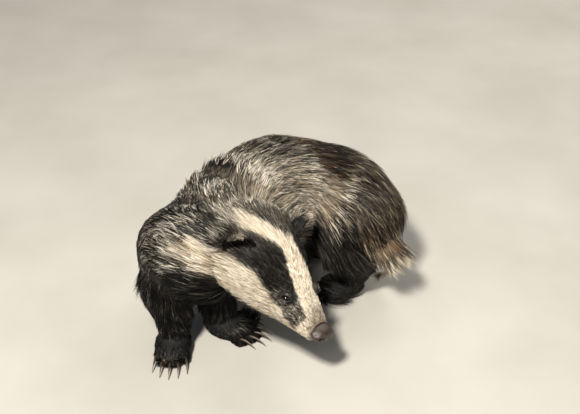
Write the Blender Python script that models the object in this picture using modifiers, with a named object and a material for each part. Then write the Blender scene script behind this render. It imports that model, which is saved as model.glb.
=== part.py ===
"""European badger, a still life-size model.

The animal walks slowly and is curled to its own left: rump and tail at +X, chest and
forelegs towards -Y, head low and turned back towards +X. Every node is a solid of flesh
and fur out to the tips of the coat. Frame: metres, +Z up, soles at Z = 0, origin on the
floor below the middle of the box round the animal.
"""
import math
import random

import bmesh
import bpy
import numpy as np
from mathutils import Matrix, Vector

# Driving dimensions, in metres
GAP = 0.0003
RING = 20
LIMB_RING = 12
EYE_RADIUS = 0.0055
EAR_WIDTH = 0.036
EAR_HEIGHT = 0.028
EAR_WALL = 0.0035
NOSE_PAD = (0.0110, 0.0145, 0.0105)
MIDDLE = Vector((-0.018, -0.240, 0.0))

# Coat of flat locks: how far the tips stand off the core, and a lock's sizes
COAT_RISE = 0.013
ROOT_SUNK = 0.007
LOCK_LENGTH = 0.086
LOCK_WIDTH = 0.038
LOCK_THICKNESS = 0.0060
LOCK_SHAPE = ((0.0, 0.55, 0.9, 0.0), (0.22, 0.9, 1.0, 0.55), (0.50, 1.0, 0.85, 0.9),
              (0.80, 0.62, 0.55, 1.0))

# Where the head is, between the ears, and how it is turned
HEAD_AT = Vector((-0.034, -0.300, 0.137)) - MIDDLE
HEAD_YAW = math.radians(-48)
HEAD_PITCH = math.radians(23)
HEAD_ROLL = math.radians(-15)

# Trunk from chest to rump: place of the centre, then half width, reach up and reach down
TRUNK = (
    (-0.112, -0.345, 0.103, 0.006, 0.006, 0.006),
    (-0.112, -0.341, 0.104, 0.032, 0.026, 0.028),
    (-0.113, -0.326, 0.108, 0.060, 0.042, 0.054),
    (-0.112, -0.297, 0.118, 0.077, 0.052, 0.075),
    (-0.100, -0.255, 0.124, 0.082, 0.072, 0.080),
    (-0.068, -0.206, 0.124, 0.079, 0.081, 0.080),
    (-0.021, -0.171, 0.118, 0.078, 0.082, 0.078),
    (0.027, -0.160, 0.112, 0.077, 0.079, 0.075),
    (0.065, -0.174, 0.108, 0.075, 0.073, 0.062),
    (0.092, -0.207, 0.100, 0.064, 0.061, 0.054),
    (0.106, -0.230, 0.094, 0.040, 0.040, 0.040),
    (0.110, -0.240, 0.091, 0.020, 0.020, 0.022),
)

# Torso: shares of its length where it parts, ring spacing, and its rows of locks: gap
# between rows, first row and last row in rings from the ends, and degrees that they span
TRUNK_PARTS = (0.36, 0.66)
TRUNK_SOFTNESS = 30
RING_SPACING = 0.017
TORSO_ROW_GAP = 0.064
TORSO_ROWS = (1.4, 4.4)
TORSO_AROUND = (-62, 242)
COAT_SOLVER = "MANIFOLD"
LIMB_SPACING = 0.015
LIMB_SOFTNESS = 16

# Head along its own axis: distance forward, half width, reach up and reach down
HEAD = (
    (-0.034, 0.056, 0.026, 0.060),
    (-0.015, 0.058, 0.030, 0.060),
    (0.006, 0.057, 0.030, 0.058),
    (0.028, 0.054, 0.026, 0.056),
    (0.050, 0.045, 0.019, 0.051),
    (0.072, 0.0345, 0.011, 0.044),
    (0.095, 0.0260, 0.002, 0.037),
    (0.115, 0.0200, -0.005, 0.032),
    (0.126, 0.0160, -0.009, 0.028),
    (0.131, 0.0080, -0.014, 0.023),
)

# Neck: length, direction at the shoulders, half width, reach up and reach down at its two
# ends, then its rows of locks, as for the torso, and their size against the torso's
NECK_LENGTH = 0.060
NECK_STEPS = 6
NECK_END = (-0.30, 0.95, 0.05)
NECK_START = np.array((0.057, 0.044, 0.044))
NECK_FULL = np.array((0.067, 0.060, 0.060))
NECK_ROW_GAP = 0.034
NECK_ROWS = (0.5, 4.2)
NECK_AROUND = (-20, 200)
NECK_SCALE = 0.95

# Tail, root to tip
TAIL_RISE = 0.007
TAIL_ROW_GAP = 0.034
TAIL_SCALE = 0.70
TAIL = (
    (0.092, -0.214, 0.100, 0.034, 0.034, 0.034),
    (0.112, -0.224, 0.092, 0.034, 0.030, 0.032),
    (0.124, -0.222, 0.068, 0.026, 0.024, 0.024),
    (0.130, -0.211, 0.046, 0.020, 0.018, 0.018),
    (0.126, -0.202, 0.031, 0.013, 0.011, 0.011),
    (0.114, -0.200, 0.024, 0.004, 0.004, 0.004),
)

# Legs, from inside the trunk down to the wrist or ankle. The frame of a leg looks
# along the leg's own forward direction: half width, reach forward, reach back
LEGS = {
    "foreleg_right": (math.radians(-92), (
        (-0.136, -0.285, 0.125, 0.026, 0.028, 0.028),
        (-0.140, -0.294, 0.105, 0.037, 0.038, 0.038),
        (-0.143, -0.304, 0.075, 0.034, 0.034, 0.036),
        (-0.138, -0.313, 0.045, 0.025, 0.024, 0.026),
    )),
    "foreleg_left": (math.radians(-20), (
        (-0.076, -0.270, 0.105, 0.024, 0.024, 0.024),
        (-0.084, -0.275, 0.090, 0.032, 0.032, 0.032),
        (-0.092, -0.280, 0.068, 0.029, 0.029, 0.029),
        (-0.088, -0.284, 0.042, 0.023, 0.024, 0.024),
    )),
    "hindleg_left": (math.radians(-172), (
        (0.076, -0.180, 0.118, 0.036, 0.036, 0.036),
        (0.076, -0.200, 0.095, 0.045, 0.048, 0.046),
        (0.074, -0.211, 0.066, 0.040, 0.040, 0.040),
        (0.078, -0.208, 0.040, 0.027, 0.026, 0.028),
    )),
    "hindleg_right": (math.radians(160), (
        (0.050, -0.150, 0.110, 0.036, 0.036, 0.036),
        (0.044, -0.128, 0.088, 0.042, 0.046, 0.044),
        (0.038, -0.118, 0.062, 0.034, 0.036, 0.038),
        (0.042, -0.118, 0.040, 0.024, 0.026, 0.026),
    )),
}

# Paws: length ahead of the ankle, width, claw length
PAWS = {
    "forepaw_right": ("foreleg_right", 0.048, 0.045, 0.024),
    "forepaw_left": ("foreleg_left", 0.052, 0.046, 0.024),
    "hindpaw_left": ("hindleg_left", 0.050, 0.042, 0.013),
    "hindpaw_right": ("hindleg_right", 0.050, 0.042, 0.013),
}

# Palm: height, share of the paw's length in front, reach behind, and share of its width
PALM = ((0.030, 0.46, 0.026, 1.0), (0.018, 0.74, 0.028, 1.05), (0.006, 0.78, 0.026, 1.05),
        (0.0, 0.73, 0.022, 0.95))

# Places on the head: distance forward, degrees from the top, and how deep the eyeball sits
EYE_ALONG = 0.073
EYE_SUNK = 0.0030
EAR_ALONG = 0.002
EAR_TURN = 55
NOSE_AT = (0.1250, 0.0, -0.0155)
NOSTRIL = (0.0040, 0.0022, 0.0028)
NOSTRIL_AT = (0.1345, 0.0062, -0.0165)

# Lids and mouth: thickness of the lid, half sizes of the opening between the lids, and the
# line of the mouth as distance forward and degrees below the side, corner to front
LID = 0.0016
LID_OPENING = (0.0062, 0.0042, 0.0060)
MOUTH = ((0.066, 24), (0.080, 29), (0.094, 30), (0.108, 29), (0.1185, 32), (0.1265, 52))
MOUTH_GROOVE = 0.0011
LIP = 0.0024

# Toes: radius, and how far they spread and reach; a claw is as long as its paw's entry says
TOE = 0.0056
TOE_PLACES = ((-0.40, 0.76), (-0.21, 0.94), (0.0, 1.0), (0.21, 0.95), (0.40, 0.78))

COLOURS = {
    "head": ("#CFC2AC", 0.85), "nose": ("#4A3A36", 0.45), "ear": ("#2A2624", 0.9),
    "eye": ("#0D0B0A", 0.12), "neck": ("#9A9184", 0.9), "torso": ("#8A8175", 0.9),
    "tail": ("#A5957B", 0.9), "foreleg": ("#1E1B19", 0.85), "forepaw": ("#1A1716", 0.8),
    "hindleg": ("#211D1B", 0.85), "hindpaw": ("#1A1716", 0.8),
}


def linear(hex_colour):
    """Linear RGBA of an sRGB hex colour."""
    channels = [int(hex_colour[i:i + 2], 16) / 255 for i in (1, 3, 5)]
    return [c / 12.92 if c <= 0.04045 else ((c + 0.055) / 1.055) ** 2.4 for c in channels] + [1]


def material_for(name):
    """Principled material of a node, by the first word of its name."""
    colour, roughness = COLOURS[name.split("_")[0]]
    material = bpy.data.materials.new(name)
    material.use_nodes = True
    shader = material.node_tree.nodes["Principled BSDF"]
    shader.inputs["Base Color"].default_value = linear(colour)
    shader.inputs["Roughness"].default_value = roughness
    return material


def collection(name):
    """New collection in the scene."""
    made = bpy.data.collections.new(name)
    bpy.context.scene.collection.children.link(made)
    return made


def clear_scene():
    """Remove every object of the scene."""
    for item in list(bpy.data.objects):
        bpy.data.objects.remove(item)


def add_object(name, mesh, group):
    """Object with a mesh, in a collection."""
    item = bpy.data.objects.new(name, mesh)
    group.objects.link(item)
    return item


def spline_rows(stations, steps):
    """Rows along a smooth curve through the stations, with `steps` rows a span."""
    rows = np.array(stations, float)
    padded = np.vstack([2 * rows[0] - rows[1], rows, 2 * rows[-1] - rows[-2]])
    out = []
    for i in range(len(rows) - 1):
        a, b, c, d = padded[i:i + 4]
        for k in range(steps):
            t = k / steps
            out.append(0.5 * (2 * b + (c - a) * t + (2 * a - 5 * b + 4 * c - d) * t ** 2
                              + (3 * b - a - 3 * c + d) * t ** 3))
    out.append(rows[-1])
    return np.array(out)


def even_rows(stations, spacing):
    """Rows along the same curve, evenly spaced by its length."""
    fine = spline_rows(stations, 16)
    steps = np.linalg.norm(np.diff(fine[:, :3], axis=0), axis=1)
    lengths = np.concatenate([[0], np.cumsum(steps)])
    marks = np.linspace(0, lengths[-1], round(lengths[-1] / spacing) + 1)
    return np.stack([np.interp(marks, lengths, column) for column in fine.T], 1)


def section(count, half_width, up, down, fullness=2.25):
    """Closed outline of a body section as (side, height) pairs, rounder than an ellipse."""
    angles = np.arange(count) * 2 * math.pi / count
    across = np.sign(np.cos(angles)) * np.abs(np.cos(angles)) ** (2 / fullness)
    height = np.sign(np.sin(angles)) * np.abs(np.sin(angles)) ** (2 / fullness)
    return across * half_width, np.where(height > 0, height * up, height * down)


def ring_frames(centres, upward, softness=0):
    """Unit tangent, side and up vectors along a centre line.

    Softness spreads a bend over more rings, so that none folds over the next.
    """
    tangents = np.gradient(centres, axis=0)
    tangents /= np.linalg.norm(tangents, axis=1)[:, None]
    for _ in range(softness):
        padded = np.vstack([tangents[0], tangents, tangents[-1]])
        tangents = (padded[:-2] + 2 * padded[1:-1] + padded[2:]) / 4
    tangents /= np.linalg.norm(tangents, axis=1)[:, None]
    upward = np.array(upward, float)
    ups = upward - (tangents @ upward)[:, None] * tangents
    ups /= np.linalg.norm(ups, axis=1)[:, None]
    return tangents, np.cross(tangents, ups), ups


def loft_rings(rows, upward, grow=0.0, count=RING, softness=0):
    """Rings of points round the rows (x, y, z, half width, up, down)."""
    centres = rows[:, :3]
    tangents, sides, ups = ring_frames(centres, upward, softness)
    rings = []
    for row, side, up in zip(rows, sides, ups):
        across, height = section(count, *(row[3:6] + grow))
        rings.append(row[:3] + across[:, None] * side + height[:, None] * up)
    rings = np.array(rings)
    rings[0] -= tangents[0] * grow
    rings[-1] += tangents[-1] * grow
    return rings


def rings_mesh(name, rings):
    """Closed mesh over a row of rings, with flat ends."""
    count = rings.shape[1]
    bm = bmesh.new()
    verts = [[bm.verts.new(point) for point in ring] for ring in rings]
    for lower, upper in zip(verts, verts[1:]):
        for k in range(count):
            after = (k + 1) % count
            bm.faces.new((lower[k], lower[after], upper[after]))
            bm.faces.new((lower[k], upper[after], upper[k]))
    bm.faces.new(verts[0])
    bm.faces.new(verts[-1])
    bmesh.ops.recalc_face_normals(bm, faces=bm.faces)
    bmesh.ops.triangulate(bm, faces=bm.faces)
    mesh = bpy.data.meshes.new(name)
    bm.to_mesh(mesh)
    bm.free()
    return mesh


def combine(item, operation, meshes, solver="EXACT"):
    """Fuse closed meshes into an object, or cut it by them, in one Boolean."""
    group = collection("pieces")
    for mesh in meshes:
        add_object("piece", mesh, group)
    modifier = item.modifiers.new(operation, "BOOLEAN")
    modifier.operation = operation
    modifier.solver = solver
    modifier.operand_type = "COLLECTION"
    modifier.collection = group
    apply_modifiers(item)
    for piece in list(group.objects):
        bpy.data.objects.remove(piece)
    bpy.data.collections.remove(group)


def cut_by(item, *meshes, solver="EXACT"):
    """Cut an object by closed meshes."""
    combine(item, "DIFFERENCE", meshes, solver)


def keep_largest(item):
    """Keep only the largest closed surface of an object."""
    bm = bmesh.new()
    bm.from_mesh(item.data)
    left = set(bm.verts)
    best = []
    while left:
        stack = [left.pop()]
        piece = list(stack)
        while stack:
            for edge in stack.pop().link_edges:
                for vert in edge.verts:
                    if vert in left:
                        left.remove(vert)
                        piece.append(vert)
                        stack.append(vert)
        if len(piece) > len(best):
            best = piece
    bmesh.ops.delete(bm, geom=list(set(bm.verts) - set(best)), context="VERTS")
    bmesh.ops.triangulate(bm, faces=bm.faces)
    bm.to_mesh(item.data)
    bm.free()


def finish(item):
    """Drop loose scraps, shade smooth and give the node its material."""
    keep_largest(item)
    item.data.materials.clear()
    item.data.materials.append(material_for(item.name))
    item.data.shade_smooth()
    item.data.set_sharp_from_angle(angle=math.radians(40))


def placed(stations):
    """Stations moved from the survey frame to the part's frame."""
    rows = np.array(stations, float)
    rows[:, :2] -= MIDDLE[:2]
    return rows


def head_matrix():
    """Frame of the head: X forward, Y to the animal's left, Z up through the skull."""
    turn = (Matrix.Rotation(HEAD_YAW, 4, "Z") @ Matrix.Rotation(HEAD_PITCH, 4, "Y")
            @ Matrix.Rotation(HEAD_ROLL, 4, "X"))
    return Matrix.Translation(HEAD_AT) @ turn


def to_world(points, matrix):
    """Points of an array moved by a matrix."""
    turn = np.array(matrix.to_3x3())
    return points @ turn.T + np.array(matrix.translation)


def head_rings(grow=0.0):
    """Rings of the head, rear to nose, in the part's frame."""
    rows = spline_rows(HEAD, 2)
    rings = []
    for along, half_width, up, down in rows:
        across, height = section(RING, half_width + grow, 1, 1)
        middle = (up - down) / 2
        reach = (up + down) / 2 + grow
        rings.append(np.stack([np.full(RING, along), across, middle + height * reach], 1))
    rings = np.array(rings)
    rings[0, :, 0] -= grow
    rings[-1, :, 0] += grow
    return to_world(rings.reshape(-1, 3), head_matrix()).reshape(rings.shape)


def neck_frames(drop=0.0):
    """Centres, sides, ups and reaches of the neck, fanned from the head's rear plane."""
    axes = np.array(head_matrix().to_3x3())
    forward, upward = axes[:, 0], axes[:, 2]
    centre = head_rings()[0].mean(0)
    rows = []
    for step in range(NECK_STEPS + 1):
        turned = step / NECK_STEPS
        direction = (turned - 1) * forward + turned * np.array(NECK_END)
        direction /= np.linalg.norm(direction)
        up = (1 - turned) * upward + turned * np.array((0, 0, 1))
        up -= up @ direction * direction
        up /= np.linalg.norm(up)
        swell = math.sin(math.pi / 2 * min(1.0, turned * 2))
        reach = NECK_START + swell * (NECK_FULL - drop - NECK_START)
        rows.append((centre, np.cross(direction, up), up, reach))
        centre = centre + direction * NECK_LENGTH / NECK_STEPS
    return [np.array(column) for column in zip(*rows)]


def neck_rings(grow=0.0, drop=0.0):
    """Rings of the neck, from the head's rear plane into the shoulders."""
    rings = []
    for centre, side, up, reach in zip(*neck_frames(drop)):
        across, height = section(RING, *(reach + grow))
        rings.append(centre + across[:, None] * side + height[:, None] * up)
    rings = np.array(rings)
    forward = np.array(head_matrix().to_3x3())[:, 0]
    rear = head_rings()[0]
    rings[0] = rear - forward * GAP
    if grow:
        rings[0] = rear.mean(0) + (rear - rear.mean(0)) * 1.01 + forward * 3 * GAP
        rings[-1] += np.array(NECK_END) * grow
    return rings


def tube_point(frames, along, angle, lift):
    """Point off the surface of a loft; along and angle say where, lift how far out."""
    marks = np.arange(len(frames[0]))
    beyond = max(0.0, along - marks[-1]) * (frames[0][-1] - frames[0][-2])
    centre, side, up, reach = [
        np.array([np.interp(along, marks, column) for column in rows.T]) for rows in frames]
    side /= np.linalg.norm(side)
    up /= np.linalg.norm(up)
    power = 2 / 2.25
    across = math.copysign(abs(math.cos(angle)) ** power, math.cos(angle))
    height = math.copysign(abs(math.sin(angle)) ** power, math.sin(angle))
    reach_up = reach[1] if height > 0 else reach[2]
    out = across * (reach[0] + lift) * side + height * (reach_up + lift) * up
    return centre + beyond + out


def lock_mesh(frames, lock, grow=0.0):
    """One flat, tapered lock that leaves the core and bends to lie along it."""
    along, angle, steps, width, drift, rise = lock
    points = []
    normals = []
    shape = LOCK_SHAPE + ((1.0, 0.0, 0.0, 1.05),)
    for part, _, _, lifted in shape:
        place = along + steps * part, angle + drift * part
        lift = -ROOT_SUNK + (ROOT_SUNK + rise) * lifted
        points.append(tube_point(frames, *place, lift))
        normals.append(tube_point(frames, *place, lift + 0.01) - points[-1])
    points = np.array(points)
    ways = np.gradient(points, axis=0)
    bm = bmesh.new()
    rings = []
    flat = np.cross(sum(normals), points[-1] - points[0])
    for (_, wide, thick, _), point, way in zip(shape[:-1], points, ways):
        across = flat - flat @ way / (way @ way) * way
        across *= (width * wide / 2 + grow) / np.linalg.norm(across)
        normal = np.cross(way, across)
        normal *= (LOCK_THICKNESS * thick / 2 + grow) / np.linalg.norm(normal)
        ring = (point + across, point + normal, point - across, point - normal)
        rings.append([bm.verts.new(corner) for corner in ring])
    tip = bm.verts.new(points[-1] + ways[-1] / np.linalg.norm(ways[-1]) * grow * 4)
    for lower, upper in zip(rings, rings[1:]):
        for k in range(4):
            after = (k + 1) % 4
            bm.faces.new((lower[k], lower[after], upper[after]))
            bm.faces.new((lower[k], upper[after], upper[k]))
    for k in range(4):
        bm.faces.new((rings[-1][k], rings[-1][(k + 1) % 4], tip))
    bm.faces.new(rings[0])
    bmesh.ops.triangulate(bm, faces=bm.faces)
    bmesh.ops.recalc_face_normals(bm, faces=bm.faces)
    mesh = bpy.data.meshes.new("lock")
    bm.to_mesh(mesh)
    bm.free()
    return mesh


def lock_rows(frames, seed, first, last, gap, around, scale=1.0, rise=COAT_RISE):
    """Locks in staggered rows over a loft, varied as real ones are."""
    chance = random.Random(seed)
    centres = frames[0]
    spacing = np.linalg.norm(np.diff(centres, axis=0), axis=1).mean()
    locks = []
    row = 0
    along = first
    while along <= last:
        reach = np.array([np.interp(along, np.arange(len(centres)), c) for c in frames[3].T])
        girth = math.pi * (reach[0] + (reach[1] + reach[2]) / 2)
        span = (around[1] - around[0]) / math.tau * girth
        number = max(3, round(span / (LOCK_WIDTH * 0.80 * scale)))
        for k in range(number):
            turn = around[0] + (around[1] - around[0]) * (k + 0.5 * (row % 2) + 0.25) / number
            turn += chance.uniform(-0.12, 0.12) * LOCK_WIDTH / reach[0]
            length = LOCK_LENGTH * scale * chance.uniform(0.88, 1.12)
            width = LOCK_WIDTH * scale * chance.uniform(0.88, 1.12)
            bend = min(0.45, 0.30 * length / reach[0])
            drift = -math.cos(turn) * bend + chance.uniform(-0.06, 0.06)
            start = along + chance.uniform(-0.25, 0.25)
            height = rise + chance.uniform(-0.0012, 0.0012)
            local = tube_point(frames, start + 1, turn, rise) - tube_point(frames, start, turn, rise)
            steps = length / max(np.linalg.norm(local), spacing * 0.45)
            locks.append((start, turn, steps, width, drift, height))
        along += gap / spacing
        row += 1
    return locks


def loft_frames(rows, upward, softness, drop=0.0):
    """Centres, sides, ups and reaches of a loft, for placing locks on its core."""
    _, sides, ups = ring_frames(rows[:, :3], upward, softness)
    return rows[:, :3], sides, ups, rows[:, 3:6] - drop


def tube_mesh(name, points, radii, sides=6):
    """Closed tube of round section through points."""
    points = np.array(points, float)
    ways = np.gradient(points, axis=0)
    turns = np.arange(sides) * math.tau / sides
    rings = []
    for point, way, radius in zip(points, ways, radii):
        side = np.cross(way, (0, 0, 1))
        side /= np.linalg.norm(side)
        up = np.cross(side, way)
        up /= np.linalg.norm(up)
        turned = np.outer(np.cos(turns), side) + np.outer(np.sin(turns), up)
        rings.append(point + turned * radius)
    return rings_mesh(name, np.array(rings))


def head_surface(along, angle):
    """Point on the head and its outward direction, in the head's own frame.

    The angle turns from the animal's left (0) over the top of the skull (90 degrees).
    """
    rows = spline_rows(HEAD, 8)
    half_width, up, down = [np.interp(along, rows[:, 0], rows[:, k]) for k in (1, 2, 3)]
    middle = (up - down) / 2
    reach = (up + down) / 2
    power = 2 / 2.25
    across = math.copysign(abs(math.cos(angle)) ** power, math.cos(angle)) * half_width
    height = math.copysign(abs(math.sin(angle)) ** power, math.sin(angle)) * reach
    outward = Vector((0.15, math.cos(angle) / half_width, math.sin(angle) / reach))
    outward.x *= outward.yz.length
    return Vector((along, across, middle + height)), outward.normalized()


def ball_mesh(name, centre, radii, turn=None, segments=16):
    """Ellipsoid about a point of the head's frame, in the part's frame."""
    bm = bmesh.new()
    bmesh.ops.create_uvsphere(bm, u_segments=segments, v_segments=segments // 2, radius=1.0)
    bmesh.ops.triangulate(bm, faces=bm.faces)
    place = head_matrix() @ Matrix.Translation(centre)
    if turn is not None:
        place = place @ turn
    bm.transform(place @ Matrix.Diagonal((*radii, 1.0)))
    mesh = bpy.data.meshes.new(name)
    bm.to_mesh(mesh)
    bm.free()
    return mesh


def eye_centre(side):
    """Centre of an eyeball, sunk in the head; side is 1 for left and -1 for right."""
    point, outward = head_surface(EYE_ALONG, math.radians(90 - side * 54))
    return point - outward * EYE_SUNK


def make_eye(side, group):
    """Eyeball in its socket."""
    name = "eye_left" if side > 0 else "eye_right"
    ball = ball_mesh(name, eye_centre(side), [EYE_RADIUS] * 3, segments=12)
    return add_object(name, ball, group)


def opening_mesh(side):
    """Almond space between the lids of an eye."""
    _, outward = head_surface(EYE_ALONG, math.radians(90 - side * 54))
    along = (Vector((1, 0, -0.25)) - Vector((1, 0, -0.25)).dot(outward) * outward).normalized()
    turn = Matrix((along, outward.cross(along), outward)).transposed().to_4x4()
    centre = eye_centre(side) + outward * EYE_RADIUS
    return ball_mesh("opening", centre, LID_OPENING, turn, 12)


def mouth_path(below, sunk):
    """Points along the mouth, round the front of the muzzle, in the part's frame."""
    left = [head_surface(along, math.radians(-angle - below)) for along, angle in MOUTH]
    front = [head_surface(0.1285, math.radians(-90))]
    points = [place - outward * sunk for place, outward in left + front]
    mirrored = [Vector((point.x, -point.y, point.z)) for point in points[-2::-1]]
    return [head_matrix() @ point for point in points + mirrored]


def ear_mesh(name, side):
    """Cup of an ear: half a thin ellipsoid shell, open forwards and outwards."""
    bm = bmesh.new()
    bmesh.ops.create_uvsphere(bm, u_segments=16, v_segments=10, radius=1.0)
    front = [vert for vert in bm.verts if vert.co.x > 0.25]
    bmesh.ops.delete(bm, geom=front, context="VERTS")
    root, outward = head_surface(EAR_ALONG, math.radians(90 - side * EAR_TURN))
    upward = (outward + Vector((-0.25, 0, 0.35))).normalized()
    mouth = Vector((0.80, side * 0.60, 0.0))
    mouth = (mouth - mouth.dot(upward) * upward).normalized()
    turn = Matrix((mouth, upward.cross(mouth), upward)).transposed().to_4x4()
    centre = root + upward * EAR_HEIGHT * 0.22
    radii = (EAR_HEIGHT * 0.34, EAR_WIDTH / 2, EAR_HEIGHT * 0.62)
    bm.transform(head_matrix() @ Matrix.Translation(centre) @ turn @ Matrix.Diagonal((*radii, 1)))
    mesh = bpy.data.meshes.new(name)
    bm.to_mesh(mesh)
    bm.free()
    return mesh


def make_ear(side, group):
    """Ear, cut where it meets the head."""
    name = "ear_left" if side > 0 else "ear_right"
    ear = add_object(name, ear_mesh(name, side), group)
    shell = ear.modifiers.new("wall", "SOLIDIFY")
    shell.thickness = EAR_WALL
    shell.offset = -1
    apply_modifiers(ear)
    cut_by(ear, rings_mesh("head_grown", head_rings(GAP)))
    return ear


def apply_modifiers(item):
    """Replace an object's mesh by its evaluated one."""
    depsgraph = bpy.context.evaluated_depsgraph_get()
    mesh = bpy.data.meshes.new_from_object(item.evaluated_get(depsgraph))
    item.modifiers.clear()
    item.data = mesh


def nose_mesh(name, grow=0.0):
    """Nose pad at the tip of the muzzle."""
    radii = [radius + grow for radius in NOSE_PAD]
    return ball_mesh(name, Vector(NOSE_AT), radii, segments=20)


def make_nose(group):
    """Nose pad with its nostrils."""
    nose = add_object("nose", nose_mesh("nose"), group)
    for side in (1, -1):
        place = Vector(NOSTRIL_AT) * Vector((1, side, 1))
        cut_by(nose, ball_mesh("nostril", place, NOSTRIL, segments=8))


def make_head(group):
    """Head with its lids and mouth; the eyes, ears and nose are nodes of their own."""
    head = add_object("head", rings_mesh("head", head_rings()), group)
    lip = mouth_path(-9, LIP * 0.45)[1:-1]
    combine(head, "UNION", [tube_mesh("lip", lip, [LIP] * len(lip))])
    for side in (1, -1):
        make_eye(side, group)
        make_ear(side, group)
        lids = ball_mesh("lids", eye_centre(side), [EYE_RADIUS + LID] * 3, segments=12)
        combine(head, "UNION", [lids])
        socket = ball_mesh("socket", eye_centre(side), [EYE_RADIUS + GAP] * 3, segments=12)
        cut_by(head, socket, opening_mesh(side))
    make_nose(group)
    groove = mouth_path(0, 0.0)
    cut_by(head, tube_mesh("mouth", groove, [MOUTH_GROOVE] * len(groove)))
    cut_by(head, nose_mesh("seat", GAP))
    keep_largest(head)


def torso_pieces():
    """Name, first ring and last ring of each length of the torso."""
    last = len(even_rows(placed(TRUNK), RING_SPACING)) - 1
    marks = [0] + [round(part * last) for part in TRUNK_PARTS] + [last]
    return list(zip(("torso_front", "torso_middle", "torso_rear"), marks, marks[1:]))


def torso_rings(first, last, drop=0.0):
    """Rings of one length of the torso, its ends half a gap back from the joint planes."""
    rows = even_rows(placed(TRUNK), RING_SPACING)
    tangents = ring_frames(rows[:, :3], (0, 0, 1), TRUNK_SOFTNESS)[0]
    end = len(rows) - 1
    rows[:, 3:6] = np.maximum(rows[:, 3:6] - drop, 0.004)
    rings = loft_rings(rows, (0, 0, 1), softness=TRUNK_SOFTNESS)[first:last + 1]
    if first:
        rings[0] += tangents[first] * GAP / 2
    if last < end:
        rings[-1] -= tangents[last] * GAP / 2
    return rings


def torso_locks():
    """Every lock of the torso, placed on its core."""
    rows = even_rows(placed(TRUNK), RING_SPACING)
    frames = loft_frames(rows, (0, 0, 1), TRUNK_SOFTNESS, COAT_RISE)
    around = [math.radians(angle) for angle in TORSO_AROUND]
    first, last = TORSO_ROWS
    return frames, lock_rows(frames, 7, first, len(rows) - last, TORSO_ROW_GAP, around)


def make_torso(group, cutters):
    """Three lengths of the torso with their coat, cut clear of what they carry."""
    frames, locks = torso_locks()
    for name, first, last in torso_pieces():
        item = add_object(name, rings_mesh(name, torso_rings(first, last, COAT_RISE)), group)
        near = [lock for lock in locks if first - lock[2] < lock[0] < last]
        combine(item, "UNION", [lock_mesh(frames, lock) for lock in near], COAT_SOLVER)
        combine(item, "INTERSECT", [rings_mesh("reach", torso_rings(first, last, -0.03))],
                COAT_SOLVER)
        for cutter in cutters:
            cut_by(item, cutter.copy(), solver=COAT_SOLVER)
        keep_largest(item)


def leg_rings(name, grow=0.0):
    """Rings of a leg, top to wrist or ankle."""
    heading, stations = LEGS[name]
    rows = even_rows(placed(stations), LIMB_SPACING)
    forward = (math.cos(heading), math.sin(heading), 0)
    rings = loft_rings(rows, forward, grow, LIMB_RING, LIMB_SOFTNESS)
    rings[-1, :, 2] = stations[-1][2] - grow
    return rings


def paw_mesh(name):
    """Heel and palm of a paw under its leg, flat below."""
    leg, length, width, _ = PAWS[name]
    heading, stations = LEGS[leg]
    ankle = placed(stations)[-1]
    forward = np.array((math.cos(heading), math.sin(heading), 0))
    side = np.cross((0, 0, 1), forward)
    top = leg_rings(leg)[-1]
    top[:, 2] -= GAP
    rings = [top]
    across, along = section(LIMB_RING, width / 2, 1, 1, 2.6)
    for height, front, back, spread in PALM:
        centre = np.array((ankle[0], ankle[1], height))
        reach = np.where(along > 0, along * length * front, along * back)
        rings.append(centre + across[:, None] * side * spread + reach[:, None] * forward)
    for k, ring in enumerate(rings):
        turn = ring - ring.mean(0)
        rings[k] = ring[np.argsort(-np.arctan2(turn @ side, turn @ forward))]
    return rings_mesh(name, np.array(rings))


def make_paw(name, group):
    """Paw with five toes and their claws."""
    leg, length, width, claw = PAWS[name]
    heading, stations = LEGS[leg]
    ankle = placed(stations)[-1]
    forward = np.array((math.cos(heading), math.sin(heading), 0))
    side = np.cross((0, 0, 1), forward)
    base = np.array((ankle[0], ankle[1], 0))
    paw = add_object(name, paw_mesh(name), group)
    for spread, reach in TOE_PLACES:
        way = forward + side * spread * 0.35
        way /= np.linalg.norm(way)
        tip = base + side * spread * width + forward * length * reach
        toe = [tip - way * 0.022 + (0, 0, 0.012), tip - way * 0.010 + (0, 0, 0.0095),
               tip - way * 0.002 + (0, 0, 0.0068)]
        toes = tube_mesh("toe", toe, (TOE, TOE * 1.08, TOE * 0.8), 5)
        nail = [tip - way * 0.006 + (0, 0, 0.0085), tip + way * claw * 0.45 + (0, 0, 0.0078),
                tip + way * claw + (0, 0, 0.0026)]
        combine(paw, "UNION", [toes, tube_mesh("claw", nail, (0.0030, 0.0022, 0.0006), 4)])
    keep_largest(paw)


def tail_mesh(name, grow=0.0):
    """Tail, root to tip."""
    rows = even_rows(placed(TAIL), LIMB_SPACING)
    rows[:, 3:6] = np.maximum(rows[:, 3:6] - TAIL_RISE, 0.004)
    return rings_mesh(name, loft_rings(rows, (0, 0, 1), grow, LIMB_RING, LIMB_SOFTNESS))


def leg_mesh(name, grow=0.0):
    """Leg down to the wrist or ankle."""
    return rings_mesh(name, leg_rings(name, grow))


def limb_frames(name):
    """Frames of a leg or the tail, for placing locks on its core."""
    if name == "tail":
        rows = even_rows(placed(TAIL), LIMB_SPACING)
        return loft_frames(rows, (0, 0, 1), LIMB_SOFTNESS, TAIL_RISE)
    heading, stations = LEGS[name]
    rows = even_rows(placed(stations), LIMB_SPACING)
    forward = (math.cos(heading), math.sin(heading), 0)
    return loft_frames(rows, forward, LIMB_SOFTNESS)


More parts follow.
